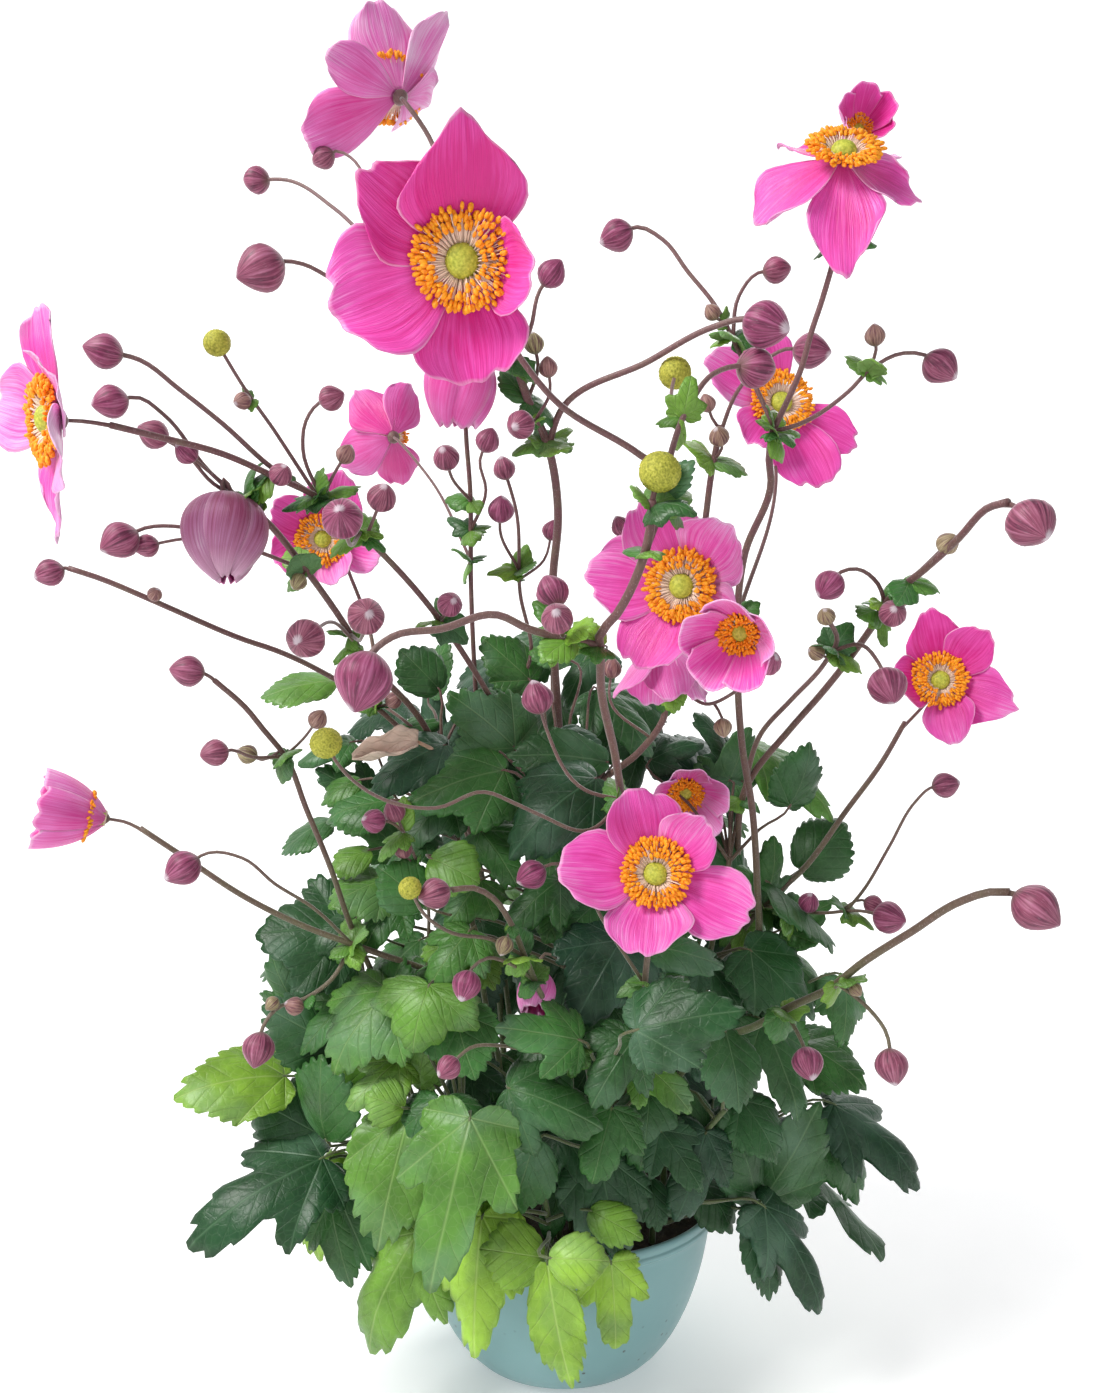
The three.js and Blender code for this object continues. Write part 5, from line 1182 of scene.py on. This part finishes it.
def disc_on(bm, end, way, bloom):
    """The small green disc that the petals of a bloom stand on."""
    x, y = axes_along(way)
    radius = (2.6 if bloom["cup"] else 3.5) * MM

    def shape(co):
        out = radius * (1 if co.z > 0 else 1 - 0.55 * abs(co.z))
        return end + way * (1.5 * MM + co.z * 1.9 * MM) + (x * co.x + y * co.y) * out

    ball(bm, 14, 8, shape, 0.6)


# %% Stalks
def stalk_of(name, row):
    corners = corners_of(f"stalk_{name}")
    chance = random.Random("stalk" + name)
    root, collar = foot_of(row["hole"], 8)
    stem = [seen(*place) for place in row["stem"]]
    plain = [[root] + thinned([collar] + stem, STRAIGHT)]
    fine = [smooth_line([root, collar] + stem, 5 * MM)]
    stems, buds, seeds = new_piece(), new_piece(), new_piece()
    tube(stems, fine[0], (row["r"] * 1.12 * MM, row["r"] * 0.86 * MM), 10, (0, 0.3))
    ends = [t for t in row["twigs"] if "depth" in t and math.dist(t["at"][0], row["stem"][-1][:2]) < 16]
    slid = 0
    for twig in row["twigs"]:
        solid = "depth" in twig
        shift = 0
        if solid:
            source = nearest_on(plain, twig["at"][0])
            shift = shift_of(twig, source, corners)
            slid += shift != 0
            plain.append(plain_line(twig_line(twig, source, shift)))
        points = twig_line(twig, nearest_on(fine, twig["at"][0]), shift)
        line = smooth_line(points, 3.5 * MM)
        tube(stems, line, (twig["r"] * 1.0 * MM, twig["r"] * 0.8 * MM), 7, (0.2, 1))
        fine.append(line)
        if ends != [twig] if solid else chance.random() < 0.5:
            NODES.append((name, line[0], (line[1] - line[0]).normalized(), solid))
        end, way = points[-1], (points[-1] - points[-2]).normalized()
        width = end_width(twig, depth_of(end))
        if "bloom" in twig:
            disc_on(stems, end, way, BLOOMS[twig["bloom"]])
        elif "bud" in twig:
            bud_on(buds, end, way, width, chance)
        else:
            bumpy_ball(seeds, end, (*axes_along(way), way), width / 2, 0.95, 260, 0.1, 44, 30)
    finished(f"stems_{name}", stems, [stem_skin], [f"stalk_{name}"])
    for title, parts, finish in (("buds", buds, bud_skin), ("seeds", seeds, seed_skin)):
        if parts.verts:
            finished(f"{title}_{name}", parts, [finish])
        else:
            parts.free()
    return slid


NODES = []
moved_twigs = sum(stalk_of(name, row) for name, row in STALKS.items())
print("stalks:", len(STALKS), "twigs that were moved along the line of sight:", moved_twigs)

# %% [markdown]
# Leaves. A leafy stem stands in its own hole, and each leaf stalk leaves it lower down than its
# blade. A blade is a grid bent into a fan: its columns run from the foot of the blade to its edge,
# whose reach at each angle gives the lobes and the teeth. The map of a blade is laid along its
# lobes, so that the finish can draw their veins. A row gives a stem's name, its hole and top in mm,
# and young or old. Each leaf below it has its foot, tip, width as a share of its length, kind (0
# is lobed, 1 a plain leaflet) and tone, from 0 dark to 1 bright and young. Lines with a + hold
# leaves inside the mass that have no plain solid. The back stems get their leaves by a rule.

# %% Rows of leafy stems
# The first leaf of front_left has a higher tone than the dark old leaves round it: painted sheen on its lit
# face.
LEAF_ROWS = """
left old -60,-12 -88,-42,165
  322,1158,545 187,1240,522 .78 0 .02; 330,1140,566 250,1100,566 .9 1 .05;
  326,1140,562 322,1062,552 1 1 .12; 328,1168,556 373,1265,540 .62 1 .1; 345,1050,568 262,1012,560 .9 1 .1;
  345,932,572 258,930,570 1.25 0 .05;
  + 300,1010,580 268,960,572 1 0 .1; 318,1100,575 276,1120,568 1 0 .02; 352,1000,566 300,1050,556 .95 0 .15;
  + 345,1090,560 352,1030,556 1 1 .3; 330,1200,550 352,1285,540 .8 0 .08;
left_young young -48,-34 -72,-62,150
  285,1076,560 175,1090,545 .72 0 .75; 333,1152,582 316,1262,576 .55 1 .85;
  410,1112,525 383,1249,508 .8 0 .55; 404,1108,522 366,1096,520 1.3 1 .7;
  + 398,1060,535 352,1110,522 1 0 .5; 420,1090,540 425,1040,536 1.1 1 .6;
  + 355,1180,556 330,1240,548 .7 1 .65;
front_left old -26,-54 -48,-84,150
  470,1118,500 436,1290,486 .72 0 .36; 418,1232,540 357,1350,530 .95 0 .4;
  429,985,516 412,1050,506 1.5 0 .4; 389,990,536 330,1068,524 1.05 0 .3;
  + 440,1100,522 430,1180,510 1 0 .2; 455,1010,520 470,1080,508 1.05 0 .25;
  + 470,930,528 430,985,516 1.1 0 .25; 400,1150,546 360,1220,534 .9 0 .3;
  + 480,1150,535 452,1220,524 .9 0 .15; 385,1030,548 400,960,545 1 1 .3;
front_young young -6,-64 -14,-88,130
  482,1216,516 470,1358,500 .58 0 .8; 547,1262,500 562,1390,494 .48 1 .95;
  545,1258,502 482,1250,496 1.05 1 .8; 549,1258,502 606,1262,496 .95 1 .85;
  611,1262,522 617,1350,514 .85 0 .75;
  + 500,1190,528 500,1270,515 .7 1 .7; 590,1210,530 640,1240,522 .8 1 .5; 470,1200,540 445,1250,530 .8 1 .6;
front old 20,-60 18,-92,172
  508,1088,505 600,1118,494 .95 0 .08; 600,1152,534 612,1262,522 .86 0 0;
  535,1140,532 515,1214,524 .95 1 .08; 612,1108,520 592,1182,508 1.1 0 .3;
  634,1038,505 588,1100,494 1.05 0 .06; 636,1030,505 742,1008,500 .72 0 .05;
  580,1040,500 500,1032,492 .9 0 .15; 650,1090,545 640,1170,535 1 1 .1; 552,1110,545 540,1190,535 1.1 1 .06;
  + 545,1040,525 560,1110,512 1 0 .1; 560,1130,545 600,1190,532 .9 0 .08;
  + 660,1130,540 700,1190,530 .95 0 .04; 640,1060,530 690,1110,520 1 0 .3; 600,990,535 585,1050,525 1 0 .12;
  + 690,1040,545 745,1075,535 .9 0 .06; 520,1120,550 480,1180,540 1 0 .1;
  + 650,1180,550 660,1230,542 .9 1 .05; 560,1180,552 550,1240,545 .9 0 .12;
  + 470,1065,560 476,1130,548 1 0 .1; 500,1060,575 520,1120,565 1 0 .05;
front_high old 4,-34 2,-72,290
  621,940,520 572,1022,504 .95 0 .04; 626,945,530 722,960,525 .8 0 .08; 596,778,525 506,842,508 .85 0 .05;
  608,762,545 509,756,540 .62 1 .06; 504,770,545 410,800,532 .85 0 .1; 430,858,530 480,880,520 1.1 1 .4;
  425,905,534 380,868,528 1 1 .3; 560,880,540 505,925,528 .95 0 .12; 540,636,600 500,700,585 .95 0 .06;
  600,690,590 650,752,575 .95 0 .05; 470,940,540 440,1000,530 1.15 0 .35;
  + 560,800,545 545,870,530 .95 0 .04; 610,830,550 650,870,540 1 0 .06; 480,830,548 520,880,536 1 0 .15;
  + 560,900,552 590,950,545 1 0 .15; 480,880,545 450,930,534 1 0 .25; 560,730,560 590,790,548 .9 0 .03;
  + 480,740,565 520,800,552 .9 0 .05; 640,960,540 690,1000,530 1 0 .2; 660,900,560 720,930,552 .9 0 .08;
  + 450,790,570 410,850,560 .95 0 .15; 600,900,545 560,940,535 1 1 .1; 530,680,590 480,640,590 .8 0 .1;
  + 570,660,590 530,650,585 .8 1 .35;
left_high old -28,-22 -62,-34,320
  445,745,575 370,786,562 .85 0 .06; 515,748,562 452,690,560 .85 0 .05; 385,880,560 328,905,548 1.15 0 .3;
  392,800,575 326,818,572 .95 1 .4; 335,680,580 262,700,574 .8 1 .35; 440,690,585 400,650,585 .95 1 .2;
  + 400,900,560 360,950,548 1 0 .4; 370,850,572 330,870,566 1 1 .5; 420,830,565 390,880,555 .95 0 .12;
  + 350,920,572 300,950,566 .95 0 .08; 480,790,572 440,830,562 .95 0 .06; 360,780,585 320,800,582 .9 1 .3;
  + 372,800,600 316,772,594 1 0 .2; 400,850,600 350,812,594 .9 0 .15; 430,692,630 450,640,626 .8 0 .35;
  + 400,730,585 450,760,575 .9 0 .06; 470,700,590 510,740,580 .8 0 .05;
right old 44,-46 76,-72,150
  756,1202,560 724,1108,552 .62 1 0; 760,1202,560 822,1108,552 .68 0 0; 757,1206,558 768,1300,548 .6 1 0;
  764,1206,560 832,1306,552 .62 0 .02; 706,1132,545 676,1220,534 .9 0 .05;
  713,1100,562 672,1070,560 1.1 0 .04; 725,1030,545 740,1110,534 .9 1 .08;
  + 720,1150,560 690,1110,556 1 0 .08; 740,1100,560 780,1160,550 .9 0 .03;
  + 700,1180,565 735,1230,556 .9 1 .04; 780,1130,575 820,1160,570 .9 0 .04;
  + 690,1090,560 640,1140,548 1 0 .2;
right_high old 56,-18 86,-22,262
  834,1104,604 928,1176,596 .8 0 .02; 826,1112,604 862,1204,596 .8 0 0; 800,1042,610 866,1084,604 .95 0 .25;
  762,1020,575 796,1118,562 .8 0 .05; 750,950,590 812,1020,585 .85 0 .08; 752,744,600 834,814,590 .66 0 .25;
  742,905,600 712,838,592 1 0 .15; 800,870,620 850,826,625 1 1 .2;
  + 740,980,590 780,1030,580 .95 0 .08; 700,960,580 740,1010,570 .95 0 .06;
  + 690,900,590 660,950,580 .95 0 .1; 720,860,600 760,900,594 .9 0 .15; 700,820,605 650,850,596 .9 0 .06;
  + 790,960,605 830,1000,600 .9 0 .12; 770,1060,595 800,1010,592 .9 1 .15; 730,780,610 690,830,604 .8 0 .08;
  + 650,760,600 700,740,598 .8 0 .06; 700,770,625 650,730,622 1 0 .04; 720,860,630 680,800,625 1 0 .05;
  + 740,940,625 700,900,620 1 0 .1; 845,982,600 840,1046,592 .8 0 .3; 735,770,622 700,712,618 .9 0 .08;
  + 720,800,615 746,728,610 .9 0 .1; 762,906,610 780,840,606 .8 0 .2; 790,806,612 814,745,606 .8 0 .15;
  + 780,930,612 830,905,606 .9 0 .1;
back_left old -44,36 -78,52,255
  + 400,700,650 350,740,640 1 0 .05; 440,760,650 380,800,640 1 0 .03; 400,860,640 350,900,630 1 0 .06;
  + 420,940,630 370,1000,620 1 0 .05; 330,820,650 280,850,645 .9 1 .2; 480,800,640 440,870,630 1 0 .02;
  + 470,900,630 430,960,620 1 0 .04; 350,960,640 300,1000,630 .9 0 .08; 440,752,636 424,690,632 .9 0 .06;
  + 352,742,600 298,762,592 .9 0 .12;
back old 4,54 6,92,265
  + 500,660,650 460,720,640 1 0 .05; 560,700,650 520,770,640 1 0 .03; 540,780,645 500,840,635 1 0 .05;
  + 600,780,650 640,840,640 1 0 .04; 560,860,640 520,920,630 1 0 .06; 600,900,640 640,960,630 1 0 .04;
  + 560,930,604 520,992,596 1.1 0 .03; 602,1040,600 574,1100,592 1.1 0 .03; 480,920,604 500,980,598 1 0 .05;
  + 584,950,600 556,1012,594 1 0 .03; 468,956,600 484,1018,594 .9 0 .05; 520,960,630 480,1030,620 1 0 .05;
  + 600,1000,630 580,1070,620 1 0 .06; 470,1080,620 460,1160,610 1 0 .05; 530,1090,620 540,1160,610 1 0 .05;
  + 640,736,636 626,800,630 .9 0 .05; 600,650,640 560,700,630 .9 0 .1;
back_right old 50,30 84,46,225
  + 640,700,650 600,760,640 1 0 .05; 690,740,650 740,790,640 1 0 .03; 660,860,650 620,920,640 1 0 .05;
  + 720,880,650 770,930,640 1 0 .05; 680,980,640 640,1050,630 1 0 .06; 740,1000,640 790,1050,630 1 0 .05;
  + 660,1080,630 620,1150,620 1 0 .05; 730,1080,630 700,1150,620 1 0 .04;
"""
LEAFY = {}
for line in LEAF_ROWS.strip().splitlines():
    if line[0] != " ":
        name, age, hole, top = line.split()
        row = LEAFY[name] = {"age": age, "hole": numbers(hole), "top": numbers(top), "plain": [], "added": []}
        continue
    for leaf in line.strip(" +;").split(";"):
        foot, tip, width, kind, tone = leaf.split()
        row["added" if "+" in line else "plain"].append(
            (seen(*numbers(foot)), seen(*numbers(tip)), float(width), int(kind), float(tone)))
print("leaves:", sum(len(row["plain"]) + len(row["added"]) for row in LEAFY.values()))

# %% Blades
# Each edge is a list of angle,reach pairs from the tip round to the foot of the blade.
LOBED_EDGE = [
    (0, 1.0), (7, 0.97), (14, 0.87), (21, 0.72), (27, 0.55), (31, 0.5), (37, 0.6), (44, 0.69), (50, 0.7),
    (58, 0.63), (66, 0.52), (72, 0.44), (80, 0.46), (90, 0.43), (102, 0.34), (116, 0.22), (132, 0.08)]
BROAD_EDGE = [
    (0, 1.0), (8, 0.96), (15, 0.87), (22, 0.78), (29, 0.7), (34, 0.69), (40, 0.74), (47, 0.78), (54, 0.76),
    (62, 0.68), (70, 0.6), (78, 0.57), (86, 0.55), (96, 0.46), (108, 0.34), (120, 0.22), (132, 0.08)]
OVAL_EDGE = [
    (0, 1.0), (8, 0.95), (16, 0.88), (24, 0.82), (32, 0.78), (40, 0.75), (50, 0.71), (60, 0.63), (70, 0.55),
    (82, 0.46), (94, 0.37), (108, 0.27), (120, 0.18), (132, 0.08)]
LEAFLET_EDGE = [
    (0, 1.0), (8, 0.96), (17, 0.89), (28, 0.83), (38, 0.76), (48, 0.64), (60, 0.45), (74, 0.28), (95, 0.1)]
LOBES = [0, 50, 88]
LEAF_STEM = 1.7
TOOTH = (0.28, 0.3, -0.56)


def blade(bm, foot, tip, width_share, kind, toward, tone_value, chance):
    """One blade as a fan of columns from its foot."""
    part = new_piece()
    uv = part.loops.layers.uv["UVMap"]
    along = tip - foot
    length = along.length
    along.normalize()
    outward = Vector((foot.x + tip.x, foot.y + tip.y, 0)).normalized()
    facing = outward * 0.5 + UP * 0.75 - Vector((0, toward, 0))
    normal = (facing - along * facing.dot(along)).normalized()
    side = normal.cross(along)
    wide = width_share * length
    outline = LEAFLET_EDGE if kind else chance.choice([LOBED_EDGE, BROAD_EDGE, LOBED_EDGE, OVAL_EDGE])
    most, lobes = outline[-1][0], [0] if kind else LOBES
    teeth = (12 if kind else 14) if length > 30 * MM else 8 if length > 16 * MM else 5
    columns = 6 * teeth
    deep = [chance.uniform(0.4, 1.5) * (0.075 if kind else 0.08) for _ in range(2 * teeth + 2)]
    tone_value += chance.uniform(-0.05, 0.27)
    wave = [chance.uniform(0, ROUND) for _ in range(4)]
    curl, fold = chance.uniform(-0.02, 0.13), chance.uniform(0.10, 0.28)
    lean = chance.uniform(-0.08, 0.08)
    known = {}

    def flat(u, v):
        """The place of a grid point on the flat blade, and its angle."""
        key = (round(u * 999), round(v * 99))
        if key not in known:
            angle = u * most
            step = round(abs(u) * columns / 2)
            tooth = TOOTH[step % 3] if step else 0.4
            reach = between(outline, abs(angle))
            reach *= 1 + deep[step // 3 + (teeth if u < 0 else 0)] * tooth * v**4
            far, turn = reach * (1 - (1 - v) ** 1.4), math.radians(angle)
            known[key] = far * math.cos(turn), far * math.sin(turn), angle
        return known[key]

    def shape(u, v):
        x, y, angle = flat(u, v)
        height = 0.3 * x * (1 - x) - fold * abs(y) * width_share
        apart = min(abs(abs(angle) - lobe) for lobe in lobes)
        height -= 0.028 * math.exp(-((apart * v / 5) ** 2)) * v
        height += 0.024 * v**3 * math.sin(math.radians(angle) * 9 + wave[0])
        height += 0.03 * v * math.sin(4 * x + 3 * y + wave[1])
        height += 0.012 * v * math.sin(11 * x - 9 * abs(y) + wave[2])
        height -= curl * v**3
        place = foot + along * x * length + side * (y * wide + lean * x * x * length)
        return place + normal * height * length

    for face in sheet(part, columns, 7 if length > 30 * MM else 4, shape, tone_value, normal):
        loops = list(face.loops)
        mids = [(loop[uv].uv.x * 2 - 1) * most for loop in loops]
        middle = sum(mids) / len(mids)
        lobe = min(lobes, key=lambda a: abs(abs(middle) - a)) * (1 if middle >= 0 else -1)
        axis = math.radians(lobe)
        scale = between(outline, abs(lobe))
        for loop in loops:
            x, y, _ = flat(loop[uv].uv.x * 2 - 1, loop[uv].uv.y)
            forward = (x * math.cos(axis) + y * math.sin(axis)) / scale
            beside = (y * math.cos(axis) - x * math.sin(axis)) * width_share / scale
            loop[uv].uv = (0.5 + beside, forward)
    bmesh.ops.remove_doubles(part, verts=part.verts, dist=2e-5)
    gather(bm, part)
    return normal


def point_on(path, share):
    """A point of a path of straight spans, each with an equal share."""
    place = share * (len(path) - 1)
    i = min(int(place), len(path) - 2)
    return path[i].lerp(path[i + 1], place - i)


# %% [markdown]
# Leaves at the back stand where the photograph doesn't look. The plain solids place them by a
# rule, spread round the outer side of their stem and up its height, with seeded chance. The same
# rule is followed here, so that each fine leaf lies on its plain one.

# %% Leaves at the back
BACK_SEEDS = {"back_left": 71, "back": 84, "back_right": 97}


def even_chance(state):
    """The seeded chance of the plain solids."""
    while True:
        state = (state * 1103515245 + 12345) % 2147483648
        yield state / 2147483648


def back_leaves(top, seed, count=6):
    chance = even_chance(seed)
    middle = math.atan2(top[1], top[0])
    found = []
    for i in range(count):
        share = (i + 0.5) / count
        angle = middle + ((i * 0.62) % 1 - 0.5) * 1.5
        radius = 78 + 34 * next(chance) + 18 * (1 - share)
        height = 92 + share * (top[2] - 60) + 16 * next(chance)
        foot = Vector((radius * math.cos(angle), radius * math.sin(angle), height))
        length = 46 + 16 * next(chance)
        turn = angle + (next(chance) - 0.5) * 1.2
        drop = 0.35 + 0.5 * next(chance)
        tip = foot + Vector((math.cos(turn), math.sin(turn), -drop)).normalized() * length
        found.append((foot * MM, tip * MM, 0.95, int(i % 3 == 2), 0.05 + 0.2 * next(chance)))
    return found


# %% Leafy stems
FRONT_TURN = 0.75  # how far blades in front turn to the viewer


def leafy_stem(name, row):
    corners = corners_of(f"leaves_{name}")
    chance = random.Random("leaf" + name)
    top = Vector(row["top"]) * MM
    root, collar = foot_of(row["hole"], 6)
    knee = collar.lerp(top, 0.5) + UP * 0.06 * top.z
    path = [root, collar, knee, top]
    stalks, blades = new_piece(), new_piece()
    tube(stalks, smooth_line(path, 8 * MM), (LEAF_STEM * MM, LEAF_STEM * 0.8 * MM), 8, (0, 0))
    plain = row["plain"] or back_leaves(row["top"], BACK_SEEDS[name])
    slid = 0
    for i, (foot, tip, width, kind, tone_value) in enumerate(plain + row["added"]):
        toward = FRONT_TURN
        if i < len(plain):
            toward = 0 if name in BACK_SEEDS else FRONT_TURN
            costs = {s: corners.find(moved(tip, s))[2] + 0.3 * corners.find(moved(foot, s))[2] for s in SHIFTS}
            shift = min(SHIFTS, key=lambda s: round(costs[s], 6))
            slid += shift != 0
            foot, tip = moved(foot, shift), moved(tip, shift)
        reach = math.hypot(foot.x - top.x, foot.y - top.y)
        height = min(top.z - 2 * MM, max(collar.z + 2 * MM, foot.z - 0.45 * reach))
        share = 0.34
        while share < 0.985 and point_on(path, share).z < height:
            share += 0.01
        start = point_on(path, share)
        normal = blade(blades, foot, tip, width, kind, toward, tone_value, chance)
        ahead = (tip - foot).normalized()
        mid = start.lerp(foot, 0.5) + UP * 0.05 * (foot - start).length
        end = foot + ahead * 0.12 * (tip - foot).length - normal * 0.2 * MM
        tube(stalks, smooth_line([start, mid, foot, end], 6 * MM), (1.0 * MM, 0.6 * MM), 6, (0.2, 0.0))
    slot = "young_foliage" if row["age"] == "young" else "foliage"
    piece = finished(
        f"blades_{name}", blades, [leaf_face, leaf_back], [f"leaves_{name}"], 0.4)
    finished(f"leaf_stalks_{name}", stalks, [stem_skin])
    print(name, "leaves moved along the line of sight:", slid, "faces:", len(piece.data.polygons))


for name, row in LEAFY.items():
    leafy_stem(name, row)

# %% [markdown]
# Where a twig leaves its stalk, small toothed bracts stand in a whorl, and tiny ones hold the
# smallest buds. They are the same blades again, a few millimetres long. One old leaf on the left
# has withered: it is tan, dry and rolled up, so its grid is bent round far more.

# %% Bracts and the withered leaf
whorls = {}
for name, place, ahead, large in NODES:
    chance = random.Random(f"bract{len(whorls)}{name}{place.x:.4f}")
    bm = whorls.setdefault(name, new_piece())
    count = chance.choice([2, 3, 3]) if large else 2
    x, y = axes_along(ahead, chance.uniform(0, ROUND))
    for i in range(count):
        turn = 2 * math.pi * (i + chance.uniform(-0.2, 0.2)) / count
        out = x * math.cos(turn) + y * math.sin(turn)
        way = (out + ahead * chance.uniform(0.1, 0.8) - UP * chance.uniform(0, 0.6)).normalized()
        size = chance.uniform(10, 18) * MM if large else chance.uniform(5, 8) * MM
        foot = place + out * 0.5 * MM
        blade(
            bm, foot, foot + way * size, chance.uniform(0.7, 1.0), chance.choice([0, 0, 1]), 0.4,
            chance.uniform(0.25, 0.6), chance)
for name, bm in whorls.items():
    finished(f"bracts_{name}", bm, [leaf_face, leaf_back], thickness=0.35)
print("whorls:", len(NODES))


def rolled(u, v):
    """The withered leaf: a sheet that rolls in from both sides as it dries."""
    foot, tip = seen(418, 742, 548), seen(352, 758, 540)
    wide = 9 * MM * math.sin(math.pi * min(1, 0.12 + 0.85 * v)) ** 0.7
    turn = u * 1.9 + 0.4 * math.sin(7 * v)
    crumple = 1 + 0.16 * math.sin(9 * u + 6 * v) + 0.1 * math.sin(17 * v - 5 * u)
    out = Vector((0.1, -0.5, 0.4)).normalized() * (1 - math.cos(turn)) * 0.55 * wide * crumple
    return foot + (tip - foot) * v + UP * math.sin(turn) * 0.62 * wide * crumple + out


bm = new_piece()
sheet(bm, 26, 22, rolled, 0.75, Vector((0, -1, 0)))
stalk = smooth_line([seen(418, 742, 548), seen(436, 752, 556), seen(452, 780, 566)], 4 * MM)
tube(bm, stalk, (0.7 * MM, 0.9 * MM), 6)
withered = finished("withered_leaf", bm, [leaf_withered], thickness=0.35)
print("withered leaf:", len(withered.data.polygons), "faces")

# %% [markdown]
# The floor and the wall behind it are one pale sweep, marked as stage. The light is that of a
# bright day with thin haze: a soft sun from the upper left, a pale sky and a glowing wall behind.

# %% Stage and light
bm = bmesh.new()
steps = [a * math.pi / 16 for a in range(1, 9)]
bend = [(1.2 + 0.8 * math.sin(a), 0.8 - 0.8 * math.cos(a)) for a in steps]
chain(bm, [(-4, y, z) for y, z in [(-3, 0), (1.2, 0)] + bend + [(2.0, 4)]])
made = bmesh.ops.extrude_edge_only(bm, edges=bm.edges[:])["geom"]
bmesh.ops.translate(bm, vec=(8, 0, 0), verts=[v for v in made if isinstance(v, bmesh.types.BMVert)])
bmesh.ops.recalc_face_normals(bm, faces=bm.faces)
mesh = bpy.data.meshes.new("sweep")
for face in bm.faces:
    face.smooth = True
bm.to_mesh(mesh)
bm.free()
sweep = bpy.data.objects.new("sweep", mesh)
bpy.context.scene.collection.objects.link(sweep)
paper = Finish("paper", 0.9, Base_Color=(0.88, 0.88, 0.88, 1), Emission_Color=(1, 1, 1, 1))
away = paper.split(paper.place())[1]
glow = paper.node("MapRange", {"Value": away, 1: -0.4, 2: 1.4, 3: 0.22, 4: 0.55})
paper.put(paper.shader, "Emission Strength", glow)
mesh.materials.append(paper.material)
sweep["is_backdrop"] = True


def soft_light(name, place, towards, size, watts, colour=(1, 1, 1)):
    data = bpy.data.lights.new(name, "AREA")
    data.size, data.energy, data.color = size, watts, colour
    light = bpy.data.objects.new(name, data)
    light.location = place
    light.rotation_euler = (Vector(towards) - Vector(place)).to_track_quat("-Z", "Y").to_euler()
    bpy.context.scene.collection.objects.link(light)


soft_light("key_light", (-1.15, -0.85, 1.55), (0, 0, 0.35), 0.7, 37, (1, 0.99, 0.96))
soft_light("front_light", (0.9, -1.8, 0.6), (0, 0, 0.3), 1.6, 6)
soft_light("back_light", (0.5, 1.2, 1.5), (0, 0, 0.4), 1.0, 9)
world = bpy.data.worlds.new("haze")
world.use_nodes = True
world.node_tree.nodes["Background"].inputs["Color"].default_value = (0.95, 0.97, 1.0, 1)
world.node_tree.nodes["Background"].inputs["Strength"].default_value = 0.32
bpy.context.scene.world = world
bpy.context.scene.view_settings.view_transform = "Standard"

# %% [markdown]
# Last, the size of the finished model is printed.

# %% Sizes and the end
low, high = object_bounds()
print("fine:", [round(v, 3) for v in (*low, *high)])
